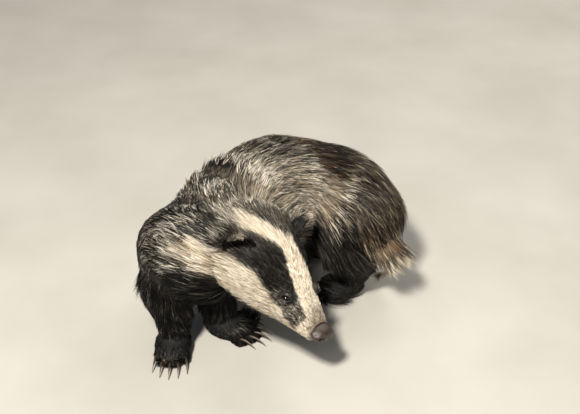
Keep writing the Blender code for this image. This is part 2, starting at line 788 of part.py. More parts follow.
def coat_meshes(name, grow=0.0):
    """Locks of the neck or the tail, as closed meshes."""
    if name == "neck":
        frames = neck_frames(COAT_RISE)
        around = [math.radians(angle) for angle in NECK_AROUND]
        locks = lock_rows(frames, 3, *NECK_ROWS, NECK_ROW_GAP, around, NECK_SCALE)
    elif name == "tail":
        frames = limb_frames("tail")
        last = len(frames[0]) - 3.6
        locks = lock_rows(frames, 5, 2.0, last, TAIL_ROW_GAP, (0, math.tau), TAIL_SCALE, TAIL_RISE)
    else:
        return []
    return [lock_mesh(frames, lock, grow) for lock in locks]


def flesh_mesh(name, grow=0.0):
    """Closed mesh of the core of a node that others are cut to fit."""
    if name == "head":
        return rings_mesh(name, head_rings(grow))
    if name == "neck":
        return rings_mesh(name, neck_rings(grow, COAT_RISE))
    if name == "tail":
        return tail_mesh(name, grow)
    return leg_mesh(name, grow)


def torso_core(grow):
    """Closed mesh of the whole core of the torso."""
    last = torso_pieces()[-1][2]
    return rings_mesh("core", torso_rings(0, last, COAT_RISE - grow))


def dressed_mesh(name, grow=0.0):
    """Core and locks of a node, fused; the neck's locks stay clear of the torso's core."""
    item = add_object(name, flesh_mesh(name, grow), bpy.data.collections["cutters"])
    locks = coat_meshes(name, grow)
    if name == "neck":
        coat = add_object("coat", locks[0], bpy.data.collections["cutters"])
        combine(coat, "UNION", locks[1:], COAT_SOLVER)
        cut_by(coat, torso_core(GAP - 1.5 * grow), solver=COAT_SOLVER)
        locks = [coat.data]
        bpy.data.objects.remove(coat)
    if locks:
        combine(item, "UNION", locks, COAT_SOLVER)
    keep_largest(item)
    mesh = item.data
    bpy.data.objects.remove(item)
    return mesh


def make_flesh(group):
    """Neck, legs, tail and torso, each cut clear of those before it."""
    cutters = [flesh_mesh("head", GAP)]
    for name in ["neck", *LEGS, "tail"]:
        item = add_object(name, dressed_mesh(name), group)
        for cutter in cutters:
            if name != "neck":
                cut_by(item, cutter.copy())
        if name == "tail":
            cut_by(item, swollen(paw_mesh("hindpaw_left"), 1.05))
        keep_largest(item)
        cutters.append(dressed_mesh(name, GAP))
    make_torso(group, cutters)


def swollen(mesh, factor):
    """Mesh scaled about its own middle."""
    points = [vert.co for vert in mesh.vertices]
    middle = sum(points, Vector()) / len(points)
    mesh.transform(Matrix.Translation(middle) @ Matrix.Scale(factor, 4)
                   @ Matrix.Translation(-middle))
    return mesh


def main():
    """Build the animal."""
    clear_scene()
    group = collection("badger")
    collection("cutters")
    make_head(group)
    make_flesh(group)
    for name in PAWS:
        make_paw(name, group)
    for item in list(group.objects):
        finish(item)


main()
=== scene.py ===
"""A life-size European badger, walking in a tight curl with its head low and turned back."""
import math

import bpy
import numpy as np
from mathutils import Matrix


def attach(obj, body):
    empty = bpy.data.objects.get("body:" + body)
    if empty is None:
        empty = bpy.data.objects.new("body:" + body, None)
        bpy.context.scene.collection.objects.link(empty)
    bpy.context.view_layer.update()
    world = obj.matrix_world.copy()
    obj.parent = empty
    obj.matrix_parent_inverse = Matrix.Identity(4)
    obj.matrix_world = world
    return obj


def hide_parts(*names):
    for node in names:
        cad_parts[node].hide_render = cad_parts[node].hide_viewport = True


bl_info = {
    "name": "Badger model",
    "version": (1, 0, 0),
    "blender": (4, 5, 0),
    "location": "3D View > Sidebar > Badger",
    "description": "Builds the skin, coat, eyes, nose and claws of a still badger",
    "category": "Object",
}

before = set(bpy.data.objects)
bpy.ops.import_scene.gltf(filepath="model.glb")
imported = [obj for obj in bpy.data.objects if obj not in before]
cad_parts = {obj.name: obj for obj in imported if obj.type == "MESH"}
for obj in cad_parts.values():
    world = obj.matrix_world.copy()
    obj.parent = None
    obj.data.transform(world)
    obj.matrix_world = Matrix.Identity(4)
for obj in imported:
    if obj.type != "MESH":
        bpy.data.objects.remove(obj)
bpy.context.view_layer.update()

# The survey frame's place of the part's origin, in metres
MIDDLE = np.array((-0.018, -0.240, 0.0))

# Head: place of its own origin, turns about Z, Y and X, and turn of its marks, in degrees
HEAD_AT = np.array((-0.034, -0.300, 0.137)) - MIDDLE
HEAD_TURNS = (-48.0, 23.0, -15.0)
MARK_TURN = 8.0

# Torso, rump last: place, half width, reach up, reach down
TRUNK = (
    (-0.112, -0.345, 0.103, 0.006, 0.006, 0.006),
    (-0.112, -0.341, 0.104, 0.032, 0.026, 0.028),
    (-0.114, -0.326, 0.109, 0.060, 0.058, 0.054),
    (-0.112, -0.297, 0.117, 0.077, 0.074, 0.073),
    (-0.093, -0.260, 0.120, 0.071, 0.066, 0.078),
    (-0.061, -0.213, 0.124, 0.071, 0.080, 0.080),
    (-0.021, -0.171, 0.118, 0.078, 0.086, 0.078),
    (0.027, -0.160, 0.112, 0.077, 0.079, 0.075),
    (0.065, -0.174, 0.108, 0.075, 0.073, 0.062),
    (0.092, -0.207, 0.100, 0.064, 0.061, 0.054),
    (0.106, -0.230, 0.094, 0.040, 0.040, 0.040),
    (0.110, -0.240, 0.091, 0.020, 0.020, 0.022),
)

# Head along its own axis: distance forward, half width, reach up and reach down
HEAD = np.array((
    (-0.052, 0.046, 0.020, 0.050),
    (-0.034, 0.056, 0.026, 0.060),
    (-0.015, 0.058, 0.030, 0.060),
    (0.006, 0.057, 0.030, 0.058),
    (0.028, 0.054, 0.026, 0.056),
    (0.050, 0.045, 0.019, 0.051),
    (0.072, 0.0345, 0.011, 0.044),
    (0.095, 0.0260, 0.002, 0.037),
    (0.115, 0.0200, -0.005, 0.032),
    (0.126, 0.0160, -0.009, 0.028),
    (0.131, 0.0080, -0.014, 0.023),
))

# Neck: place of its root on the head, way at its far end, and half width, up and down reach
NECK_ROOT = np.array((-0.034, 0, -0.017))
NECK_LENGTH = 0.078
NECK_STEPS = 15
NECK_END = np.array((-0.12, 0.99, 0.02))
NECK_START = np.array((0.057, 0.044, 0.044))
NECK_FULL = np.array((0.055, 0.050, 0.058))
NECK_TAPER = 0.28

# Tail, tip last: place, half width, reach up, reach down
TAIL = (
    (0.092, -0.214, 0.100, 0.034, 0.034, 0.034),
    (0.112, -0.224, 0.092, 0.034, 0.030, 0.032),
    (0.124, -0.222, 0.068, 0.026, 0.024, 0.024),
    (0.130, -0.211, 0.046, 0.020, 0.018, 0.018),
    (0.126, -0.202, 0.031, 0.013, 0.011, 0.011),
    (0.114, -0.200, 0.024, 0.004, 0.004, 0.004),
)

# Legs: heading in degrees, then stations down to the wrist or ankle
LEGS = {
    "foreleg_right": (-92, (
        (-0.136, -0.285, 0.125, 0.026, 0.028, 0.028),
        (-0.140, -0.294, 0.105, 0.037, 0.038, 0.038),
        (-0.143, -0.304, 0.075, 0.034, 0.034, 0.036),
        (-0.138, -0.313, 0.045, 0.025, 0.024, 0.026),
        (-0.136, -0.320, 0.022, 0.021, 0.022, 0.022),
    )),
    "foreleg_left": (-20, (
        (-0.076, -0.270, 0.105, 0.024, 0.024, 0.024),
        (-0.084, -0.275, 0.090, 0.032, 0.032, 0.032),
        (-0.092, -0.280, 0.068, 0.029, 0.029, 0.029),
        (-0.088, -0.284, 0.042, 0.023, 0.024, 0.024),
        (-0.084, -0.286, 0.022, 0.020, 0.021, 0.021),
    )),
    "hindleg_left": (-172, (
        (0.076, -0.180, 0.118, 0.036, 0.036, 0.036),
        (0.076, -0.200, 0.095, 0.045, 0.048, 0.046),
        (0.074, -0.211, 0.066, 0.040, 0.040, 0.040),
        (0.078, -0.208, 0.040, 0.027, 0.026, 0.028),
        (0.076, -0.208, 0.021, 0.021, 0.021, 0.022),
    )),
    "hindleg_right": (160, (
        (0.050, -0.150, 0.110, 0.036, 0.036, 0.036),
        (0.044, -0.128, 0.088, 0.042, 0.046, 0.044),
        (0.038, -0.118, 0.062, 0.034, 0.036, 0.038),
        (0.042, -0.118, 0.040, 0.024, 0.026, 0.026),
        (0.042, -0.118, 0.021, 0.020, 0.021, 0.021),
    )),
}

# Paws: leg, place of the ankle, length ahead of it, width, length of the claws
PAWS = {
    "forepaw_right": ("foreleg_right", (-0.138, -0.313), 0.048, 0.045, 0.021),
    "forepaw_left": ("foreleg_left", (-0.088, -0.284), 0.052, 0.046, 0.021),
    "hindpaw_left": ("hindleg_left", (0.078, -0.208), 0.050, 0.042, 0.012),
    "hindpaw_right": ("hindleg_right", (0.042, -0.118), 0.050, 0.042, 0.012),
}
# Toes: place across the paw and reach, as shares of its width and length
TOE_PLACES = ((-0.40, 0.76), (-0.21, 0.94), (0.0, 1.0), (0.21, 0.95), (0.40, 0.78))
TOE_SPREAD = 0.35

# How far the skin lies inside the solids, which reach out to the coat's tips
COAT_DEPTH = {"torso": 0.0110, "neck": 0.0100, "head": 0.0020, "tail": 0.0105, "leg": 0.0040}
# The head's surface itself is made this far inside
FACE_DEPTH = 0.0022
# Body sections are superellipses of this power
SECTION_POWER = 2.25

# Eyes and ears on the head: distance forward and degrees from the top of the skull
EYE_ALONG = 0.0770
EYE_TURN = 54.0
EYE_SUNK = 0.0030
EAR_ALONG = 0.0045
EAR_TURN = 55.0
LID_SIZES = (0.0060, 0.0034)
LID_REACH = (0.0080, 0.0050, 0.0120)
NOSE_AT = np.array((0.1250, 0.0, -0.0155))
NOSE_SIZES = (0.0106, 0.0168, 0.0084)
NOSE_REACH = (0.0125, 0.0158, 0.0105)
# The mouth's line: distance forward, degrees from the top of the skull
MOUTH_LINE = ((0.066, 114), (0.080, 119), (0.094, 120), (0.108, 119), (0.1185, 122),
              (0.1265, 142), (0.1285, 180))

# Edges of the black stripe: distance forward, degrees from the crest to its two edges
STRIPE = np.array((
    (-0.034, 60, 78), (-0.020, 50, 79), (-0.012, 42, 79), (-0.006, 33, 79), (0.000, 24, 78),
    (0.014, 18, 74), (0.024, 15, 70), (0.036, 17, 68), (0.045, 20, 71), (0.059, 26, 76),
    (0.072, 33, 86), (0.085, 41, 101), (0.095, 46, 118), (0.104, 48, 122), (0.108, 52, 118),
))
# Lower edge of the cream cheek stripe, and where it runs out behind the head
CHEEK = np.array((
    (-0.070, 117, 118), (-0.059, 110, 122), (-0.041, 98, 121), (-0.026, 86, 120),
    (-0.012, 77, 122), (0.014, 74, 128), (0.036, 68, 131), (0.060, 77, 137),
    (0.078, 92, 150), (0.095, 118, 170), (0.140, 118, 190),
))

# The cheek stripe's way over the shoulder in the head's frame: place and half width
CHEEK_TRAIL = np.array((
    (0.006, -0.060, -0.022, 0.026), (-0.010, -0.066, -0.018, 0.021),
    (-0.025, -0.078, -0.016, 0.015), (-0.041, -0.090, -0.022, 0.011),
    (-0.058, -0.094, -0.025, 0.007),
))

# The crest's pale stripe over the nape in the head's frame: place and half width
CREST_TRAIL = np.array((
    (0.016, 0.000, 0.028, 0.0125), (0.000, -0.008, 0.028, 0.0125),
    (-0.016, -0.020, 0.026, 0.0120), (-0.034, -0.024, 0.022, 0.0125),
    (-0.052, -0.030, 0.019, 0.0120), (-0.074, -0.039, 0.016, 0.0080),
))

# Height up to which the coat is black: by place along the back, by x on the inner flank,
# and at most on the outer side
BLACK_EDGE = np.array((
    (0.0, 0.132), (0.25, 0.130), (0.36, 0.104), (0.50, 0.068), (0.60, 0.076),
    (0.75, 0.108), (0.86, 0.136), (0.94, 0.140), (1.0, 0.130),
))
FLANK_EDGE = np.array(((0.02, 0.080), (0.05, 0.088), (0.075, 0.118), (0.095, 0.145)))
OUTER_EDGE = 0.088

# Least and most turn of the skin, in 1 / metre, that lying hair follows
BEND_LIMITS = (-9.0, 42.0)
# Share of a hair's length at which its mark is read
MARK_READ_AT = 0.75
COLOUR_MARKS = ("black", "cream", "buff", "shade")
# Side of a strand's patch on the OFBake map
PATCH = 0.003

# Camera of the photo: place, degrees below the horizon, focal length in millimetres
CAMERA_AT = (0.018, -1.172, 0.882)
CAMERA_TILT = 32
CAMERA_LENS = 72.3
# Lamps: name, place, size in metres, power in watts; all aim at one point
LAMPS = (("main_light", (-0.42, -1.3, 1.85), 0.25, 122),
         ("rim_light", (0.8, 1.2, 1.5), 1.2, 26),
         ("side_light", (1.6, -0.8, 1.0), 1.5, 8))
LAMP_AIM = np.array((0, 0, 0.08))


def linear(hex_colour):
    """Linear RGBA of an sRGB hex colour."""
    parts = [int(hex_colour[i:i + 2], 16) / 255 for i in (1, 3, 5)]
    curved = [part / 12.92 if part <= 0.04045 else ((part + 0.055) / 1.055) ** 2.4
              for part in parts]
    return (*curved, 1.0)


def unit(vectors):
    """Vectors divided by their lengths."""
    return vectors / np.maximum(np.linalg.norm(vectors, axis=-1, keepdims=True), 1e-9)


def smooth(value, low, high):
    """Smooth step: 0 at low, 1 at high, and 3t^2 - 2t^3 between them."""
    part = np.clip((value - low) / (high - low), 0.0, 1.0)
    return part * part * (3 - 2 * part)


def spin(axis, degrees):
    """Matrix of a turn about one axis, 0 for X to 2 for Z."""
    turn = math.radians(degrees)
    matrix = np.eye(3)
    first, second = (axis + 1) % 3, (axis + 2) % 3
    matrix[first, first] = matrix[second, second] = math.cos(turn)
    matrix[first, second] = -math.sin(turn)
    matrix[second, first] = math.sin(turn)
    return matrix


HEAD_AXES = spin(2, HEAD_TURNS[0]) @ spin(1, HEAD_TURNS[1]) @ spin(0, HEAD_TURNS[2])


def to_head(points):
    """Points in the head's own frame, X forward, Y left, Z up."""
    return (points - HEAD_AT) @ HEAD_AXES


def from_head(points):
    """Points of the head's own frame in the part's frame."""
    return points @ HEAD_AXES.T + HEAD_AT


def columns(places, table, wanted):
    """Columns of a table, read at places along its first column."""
    return [np.interp(places, table[:, 0], table[:, k]) for k in wanted]


def heading_way(degrees):
    """Level direction of a heading."""
    turn = math.radians(degrees)
    return np.array((math.cos(turn), math.sin(turn), 0))


def placed(stations):
    """Stations moved from the survey frame to the part's frame."""
    rows = np.array(stations, float)
    rows[:, :2] -= MIDDLE[:2]
    return rows


def curve_rows(stations, spacing):
    """Evenly spaced rows along a Catmull-Rom curve through the stations.

    Each span is the cubic with the stations as ends and half the neighbours' step as slope.
    """
    rows = np.array(stations, float)
    padded = np.vstack([2 * rows[0] - rows[1], rows, 2 * rows[-1] - rows[-2]])
    part = np.arange(16)[:, None] / 16
    spans = []
    for a, b, c, d in zip(padded, padded[1:], padded[2:], padded[3:]):
        spans.append(0.5 * (2 * b + (c - a) * part + (2 * a - 5 * b + 4 * c - d) * part ** 2
                            + (3 * b - a - 3 * c + d) * part ** 3))
    fine = np.vstack(spans + [rows[-1:]])
    steps = np.linalg.norm(np.diff(fine[:, :3], axis=0), axis=1)
    lengths = np.concatenate([[0], np.cumsum(steps)])
    marks = np.linspace(0, lengths[-1], round(lengths[-1] / spacing) + 1)
    return np.stack([np.interp(marks, lengths, column) for column in fine.T], 1)


def outline(count):
    """Unit body section: the cosine and sine of even turns, each raised to 2 / power."""
    turns = np.arange(count) * math.tau / count
    return [np.sign(wave) * np.abs(wave) ** (2 / SECTION_POWER)
            for wave in (np.cos(turns), np.sin(turns))]


def tube_frames(rows, upward, softness):
    """Centres, tangents, sides, ups and reaches of a body tube; bends are spread out."""
    tangents = unit(np.gradient(rows[:, :3], axis=0))
    for _ in range(softness):
        padded = np.vstack([tangents[0], tangents, tangents[-1]])
        tangents = (padded[:-2] + 2 * padded[1:-1] + padded[2:]) / 4
    tangents = unit(tangents)
    ups = unit(upward - (tangents @ upward)[:, None] * tangents)
    return rows[:, :3], tangents, np.cross(tangents, ups), ups, rows[:, 3:6]


def tube_grid(frames, count, drop=0.0):
    """Grid of points round a body tube: centre + cos * width * side + sin * height * up."""
    centres, _, sides, ups, reaches = frames
    reaches = np.maximum(reaches - drop, 0.003)
    across, height = outline(count)
    tall = np.where(height > 0, height * reaches[:, 1:2], height * reaches[:, 2:3])
    wide = across * reaches[:, :1]
    return centres[:, None] + wide[..., None] * sides[:, None] + tall[..., None] * ups[:, None]


def torso_frames():
    """Body tube of the torso, chest to rump."""
    return tube_frames(curve_rows(placed(TRUNK), 0.006), np.array((0, 0, 1.0)), 90)


def tail_frames():
    """Body tube of the tail, root to tip."""
    return tube_frames(curve_rows(placed(TAIL), 0.005), np.array((0, 0, 1.0)), 40)


def leg_frames(name):
    """Body tube of a leg, top to foot."""
    heading, stations = LEGS[name]
    return tube_frames(curve_rows(placed(stations), 0.005), heading_way(heading), 30)


def neck_frames():
    """Body tube of the neck, fanned from the head's rear plane into the shoulders."""
    forward, upward = HEAD_AXES[:, 0], HEAD_AXES[:, 2]
    turned = np.linspace(0, 1, NECK_STEPS + 1)[:, None]
    ways = unit((turned - 1) * forward + turned * NECK_END)
    ups = (1 - turned) * upward + turned * np.array((0, 0, 1.0))
    ups = unit(ups - (ups * ways).sum(1, keepdims=True) * ways)
    swell = np.sin(math.pi / 2 * np.minimum(1, turned * 2))
    reaches = (NECK_START + swell * (NECK_FULL - NECK_START)) * (1 - NECK_TAPER * turned ** 2)
    moves = np.vstack([np.zeros(3), np.cumsum(ways[:-1], 0) * NECK_LENGTH / NECK_STEPS])
    return from_head(NECK_ROOT) + moves, ways, np.cross(ways, ups), ups, reaches


def head_frames():
    """Body tube of the head, rear to nose."""
    marks = np.linspace(HEAD[0, 0], HEAD[-1, 0], 60)
    fine = curve_rows(np.c_[HEAD[:, :1], np.zeros((len(HEAD), 2)), HEAD[:, 1:]], 0.003)
    width, up, down = columns(marks, fine, (3, 4, 5))
    middle, reach = (up - down) / 2, (up + down) / 2
    centres = from_head(np.stack([marks, 0 * marks, middle], 1))
    axes = [np.repeat(HEAD_AXES[:, k][None], len(marks), 0) for k in (0, 1, 2)]
    return centres, axes[0], axes[1], axes[2], np.stack([width, reach, reach], 1)


def head_place(along, degrees, side, out=0.0):
    """Point on the head and its outward direction; degrees count from the top of the skull."""
    width, up, down = columns(along, HEAD, (1, 2, 3))
    turn = math.radians(90 - degrees)
    reach = (up + down) / 2
    power = 2 / SECTION_POWER
    across = side * abs(math.cos(turn)) ** power * width
    height = math.copysign(abs(math.sin(turn)) ** power, math.sin(turn)) * reach
    way = np.array((0.0, side * math.cos(turn) / width, math.sin(turn) / reach))
    way[0] = 0.15 * np.linalg.norm(way)
    way = unit(way)
    return np.array((along, across, (up - down) / 2 + height)) + way * out, way


def grid_faces(rows, count, start=0, closed=True):
    """Quads of a grid of rows by count points, closed round each row."""
    last = count if closed else count - 1
    row, place = np.meshgrid(np.arange(rows - 1), np.arange(last), indexing="ij")
    after = (place + 1) % count
    corners = (row * count + place, row * count + after,
               (row + 1) * count + after, (row + 1) * count + place)
    return np.stack([corner.ravel() for corner in corners], 1) + start


def new_mesh(name, points, loops, sizes):
    """Mesh from points, the faces' corners one after another, and each face's corner count."""
    mesh = bpy.data.meshes.new(name)
    mesh.vertices.add(len(points))
    mesh.vertices.foreach_set("co", np.asarray(points, np.float32).ravel())
    mesh.loops.add(len(loops))
    mesh.loops.foreach_set("vertex_index", loops.astype(np.int32))
    mesh.polygons.add(len(sizes))
    starts = np.concatenate([[0], np.cumsum(sizes)[:-1]]).astype(np.int32)
    mesh.polygons.foreach_set("loop_start", starts)
    mesh.update(calc_edges=True)
    return mesh


def linked(name, data):
    """New object in the scene for a mesh, lamp or camera."""
    item = bpy.data.objects.new(name, data)
    bpy.context.scene.collection.objects.link(item)
    return item


def mesh_object(name, points, faces, shade=True):
    """New object of a point array and its faces, an array or a list of corner lists."""
    if isinstance(faces, list):
        sizes = np.array([len(face) for face in faces])
        loops = np.concatenate([np.asarray(face) for face in faces])
    else:
        sizes = np.full(len(faces), faces.shape[1])
        loops = faces.ravel()
    mesh = new_mesh(name, points, loops, sizes)
    mesh.polygons.foreach_set("use_smooth", np.full(len(sizes), shade))
    mesh.validate()
    return linked(name, mesh)


def point_values(mesh, values):
    """Named float attributes on the points of a mesh."""
    for name, value in values.items():
        layer = mesh.attributes.new(name, "FLOAT", "POINT")
        layer.data.foreach_set("value", value.astype(np.float32))


def closed_tube(grid):
    """Points and faces of a grid of rings, each end drawn to a middle point."""
    rows, count = grid.shape[:2]
    ends = np.stack([grid[0].mean(0), grid[-1].mean(0)])
    points = np.vstack([grid.reshape(-1, 3), ends])
    quads = grid_faces(rows, count)
    place = np.arange(count)
    after = (place + 1) % count
    first, last = rows * count, rows * count + 1
    rear = (rows - 1) * count
    fans = [np.stack([after, place, np.full(count, first)], 1),
            np.stack([rear + place, rear + after, np.full(count, last)], 1)]
    faces = [*quads.tolist(), *np.vstack(fans).tolist()]
    return points, faces


def ball_grid(centre, axes, radii, rows=14, count=20):
    """Closed ellipsoid: rings of sin by cos from pole to pole of its third axis."""
    tilt = np.linspace(0.02, math.pi - 0.02, rows)[:, None]
    turn = np.arange(count)[None] * math.tau / count
    local = np.stack([np.sin(tilt) * np.cos(turn), np.sin(tilt) * np.sin(turn),
                      -np.cos(tilt) + 0 * turn], -1) * radii
    return closed_tube(local @ np.asarray(axes).T + centre)


def path_tube(points, radii, count=10, flat=1.0):
    """Closed tube of round section along a path, its radius changing on the way."""
    points = np.asarray(points, float)
    ways = unit(np.gradient(points, axis=0))
    sides = unit(np.cross(ways, (0, 0, 1.0)))
    ups = np.cross(sides, ways)
    turn = np.arange(count) * math.tau / count
    ring = (np.cos(turn)[None, :, None] * sides[:, None]
            + flat * np.sin(turn)[None, :, None] * ups[:, None])
    return closed_tube(points[:, None] + ring * np.asarray(radii)[:, None, None])


def joined(parts):
    """One point array and face list from several."""
    points, faces, start = [], [], 0
    for place, face in parts:
        points.append(place)
        faces += [[corner + start for corner in row] for row in face]
        start += len(place)
    return np.vstack(points), faces


def lid_axes(side):
    """Eye's middle, then the directions along the lids, across them and out of the head."""
    centre, out = head_place(EYE_ALONG, EYE_TURN, side, -EYE_SUNK)
    along = np.array((1.0, -0.42 * side, 0.32))
    along = unit(along - along @ out * out)
    return centre, np.stack([along, np.cross(out, along), out], 1)


def ear_axes(side):
    """Root, then mouth, side and up directions of an ear, in the part's frame."""
    root, outward = head_place(EAR_ALONG, EAR_TURN, side)
    upward = unit(outward + np.array((-0.25, 0, 0.35)))
    mouth = np.array((0.80, side * 0.60, 0.0))
    mouth = unit(mouth - mouth @ upward * upward)
    axes = np.stack([mouth, np.cross(upward, mouth), upward], 1)
    return from_head(root), HEAD_AXES @ axes


def ear_parts(side, height=0.028, width=0.036, wall=0.0030):
    """Cup of an ear: the rear half of an ellipsoid shell, with a rounded rim.

    The outer wall is centre + (a cos, b sin, c) on a half ellipsoid, and the inner wall is
    the same form less the thickness of the wall.
    """
    root, axes = ear_axes(side)
    centre = root + axes[:, 2] * height * 0.22
    tilt = np.linspace(-1.15, 1.5, 18)[:, None]
    turn = np.linspace(0.42 * math.pi, 1.58 * math.pi, 22)[None]
    local = np.stack([np.cos(tilt) * np.cos(turn), np.cos(tilt) * np.sin(turn),
                      np.sin(tilt) + 0 * turn], -1)
    radii = np.array((height * 0.34, width / 2, height * 0.62))
    outer = local * radii
    inner = local * (radii - wall)
    grid = np.concatenate([outer, inner[:, ::-1]], 1)
    return closed_tube(grid @ axes.T + centre)


def paw_frame(name):
    """Ankle's place on the floor, and the forward and side directions of a paw."""
    leg, ankle = PAWS[name][:2]
    forward = heading_way(LEGS[leg][0])
    return np.array((*ankle, 0)) - MIDDLE, forward, np.array((-forward[1], forward[0], 0))


def toes(name):
    """Tip and way of each toe of a paw."""
    base, forward, side = paw_frame(name)
    length, width = PAWS[name][2:4]
    for across, reach in TOE_PLACES:
        yield (base + side * across * width + forward * length * reach,
               unit(forward + side * across * TOE_SPREAD))


def paw_parts(name):
    """Palm and five toes of a paw, as an ellipsoid and closed tubes."""
    base, forward, side = paw_frame(name)
    length, width = PAWS[name][2:4]
    axes = np.stack([forward, side, (0, 0, 1)], 1)
    palm = base + forward * length * 0.26 + (0, 0, 0.0135)
    parts = [ball_grid(palm, axes, (length * 0.62, width * 0.50, 0.0125))]
    for tip, way in toes(name):
        toe = np.stack([tip - way * back + (0, 0, height) for back, height in (
            (0.026, 0.012), (0.014, 0.0105), (0.006, 0.0078), (0.001, 0.0060))])
        parts.append(path_tube(toe, (0.0050, 0.0056, 0.0052, 0.0030)))
    return parts


def claw_paths():
    """Curved paths of all claws: up from the toe, then down to a point."""
    part = np.linspace(0, 1, 9)[:, None]
    up = 0.0082 + 0.0035 * np.sin(part * 2.2) - 0.0092 * part ** 2
    for name in PAWS:
        reach = PAWS[name][4] * 0.85
        for tip, way in toes(name):
            out = way * (part * (reach + 0.008) - 0.008)
            yield tip + out + up * np.array((0, 0, 1.0))


def node(tree, kind, links=(), **settings):
    """Add a node with its settings; a link is (input name or number, socket)."""
    made = tree.nodes.new(kind)
    for name, value in settings.items():
        if hasattr(made, name):
            setattr(made, name, value)
        else:
            made.inputs[name.replace("_", " ")].default_value = value
    for place, socket in links:
        tree.links.new(socket, made.inputs[place])
    return made


def new_material(name):
    """Material with an empty node tree, its shader and its output."""
    material = bpy.data.materials.new(name)
    material.use_nodes = True
    tree = material.node_tree
    tree.nodes.clear()
    shader = tree.nodes.new("ShaderNodeBsdfPrincipled")
    output = tree.nodes.new("ShaderNodeOutputMaterial")
    tree.links.new(shader.outputs["BSDF"], output.inputs["Surface"])
    return material, tree, shader


def mixed(tree, factor, first, second, blend="MIX"):
    """Colour socket of a mix; first and second are sockets or hex colours."""
    made = node(tree, "ShaderNodeMix", data_type="RGBA", blend_type=blend)
    for place, value in ((0, factor), (6, first), (7, second)):
        if isinstance(value, str):
            made.inputs[place].default_value = linear(value)
        elif isinstance(value, float):
            made.inputs[place].default_value = value
        else:
            tree.links.new(value, made.inputs[place])
    return made.outputs[2]


def ramp(tree, factor, stops):
    """Colour ramp output over a factor; stops are (place, hex colour)."""
    made = node(tree, "ShaderNodeValToRGB", [(0, factor)])
    elements = made.color_ramp.elements
    while len(elements) < len(stops):
        elements.new(0.5)
    for element, (place, colour) in zip(elements, stops):
        element.position = place
        element.color = linear(colour)
    return made.outputs["Color"]


def carried(tree, name):
    """Socket of a number that the mesh carries on its points."""
    return node(tree, "ShaderNodeAttribute", attribute_name=name).outputs["Fac"]


def pattern(tree, kind, **settings):
    """Texture node laid on the object's own coordinates."""
    place = node(tree, "ShaderNodeTexCoord").outputs["Object"]
    return node(tree, "ShaderNodeTex" + kind, [("Vector", place)], **settings)


def raised(tree, shader, height, **settings):
    """Let a pattern raise the surface."""
    bump = node(tree, "ShaderNodeBump", [("Height", height)], **settings)
    tree.links.new(bump.outputs["Normal"], shader.inputs["Normal"])


def coat_colours(tree, along, chance):
    """Colour socket of badger hair from the marks that skin and coat both carry.

    Guard hair of the back is pale at its root, black in the middle and whitish at its tip;
    face and cheeks are cream, stripes, legs and belly black, rump and tail buff to ochre.
    """
    marks = {name: carried(tree, name) for name in COLOUR_MARKS}
    shifted = node(tree, "ShaderNodeMath", [(0, chance), (2, along)], operation="MULTIPLY_ADD")
    shifted.inputs[1].default_value = 0.24
    grizzled = ramp(tree, shifted.outputs[0], (
        (0.0, "#5E5547"), (0.30, "#978D7B"), (0.46, "#7A7165"), (0.56, "#1E1B18"),
        (0.88, "#1A1815"), (0.95, "#B4AC9D"), (1.0, "#E2DBCE")))
    pale = ramp(tree, shifted.outputs[0], (
        (0.0, "#8C8069"), (0.40, "#D6CAB4"), (0.72, "#CBBEA8"), (0.81, "#3E382F"),
        (0.91, "#DDD2BE"), (1.0, "#F6F0E4")))
    hair = mixed(tree, marks["shade"], pale, grizzled)
    tawny = ramp(tree, shifted.outputs[0], (
        (0.0, "#5A4229"), (0.36, "#9A7750"), (0.62, "#836041"), (0.74, "#241A12"),
        (0.88, "#423122"), (0.95, "#A58F6E"), (1.0, "#E2D4B8")))
    hair = mixed(tree, marks["buff"], hair, tawny)
    light = ramp(tree, chance, ((0.0, "#3E3E3E"), (0.25, "#A4A4A4"), (0.6, "#D4D4D4"),
                                (1.0, "#FFFFFF")))
    hair = mixed(tree, 1.0, hair, light, "MULTIPLY")
    cream = ramp(tree, chance, ((0.0, "#85745C"), (0.16, "#B8A88D"), (0.40, "#CDC1AD"),
                                (1.0, "#EAE3D7")))
    hair = mixed(tree, marks["cream"], hair, cream)
    dark = ramp(tree, chance, ((0.0, "#020202"), (0.7, "#070606"), (0.92, "#12100F"),
                               (1.0, "#332F2B")))
    return mixed(tree, marks["black"], hair, dark)


def coat_material():
    """Badger guard hair: solid keratin strands, smooth, so each catches a narrow gloss. Each strand
    is darkened towards its root as painted shade deep in the coat.
    """
    material, tree, shader = new_material("badger_guard_hair")
    along = carried(tree, "along")
    colour = coat_colours(tree, along, carried(tree, "chance"))
    # Painted shade: every strand darkens towards its root, where the coat shades itself
    depth = ramp(tree, along, ((0.0, "#6A6A6A"), (0.45, "#D0D0D0"), (1.0, "#FFFFFF")))
    tree.links.new(mixed(tree, 1.0, colour, depth, "MULTIPLY"), shader.inputs["Base Color"])
    shader.inputs["Roughness"].default_value = 0.46
    shader.inputs["IOR"].default_value = 1.55
    shader.inputs["Specular IOR Level"].default_value = 0.11
    return material


def skin_material():
    """Skin under dense underfur: matt, soft and marked as the coat, with fine lying hair.

    The fine hair is a noise about 1 mm across, which also raises the surface; where the noise is low
    the skin is darker, as painted shade between the hairs.
    """
    material, tree, shader = new_material("badger_underfur")
    fine = pattern(tree, "Noise", Scale=900.0, Detail=3.0).outputs["Fac"]
    along = node(tree, "ShaderNodeMath", [(0, fine)], operation="MULTIPLY_ADD")
    along.inputs[1].default_value = 0.6
    along.inputs[2].default_value = 0.05
    colour = coat_colours(tree, along.outputs[0], fine)
    # Painted shade: the skin is darker where the fine hair's bump is low
    deep = ramp(tree, fine, ((0.2, "#8A8A8A"), (0.8, "#E8E8E8")))
    body = mixed(tree, 1.0, colour, deep, "MULTIPLY")
    body = mixed(tree, carried(tree, "bare"), body, "#15110F")
    tree.links.new(body, shader.inputs["Base Color"])
    shader.inputs["Roughness"].default_value = 0.75
    shader.inputs["Specular IOR Level"].default_value = 0.25
    raised(tree, shader, fine, Strength=0.5, Distance=0.0006)
    return material


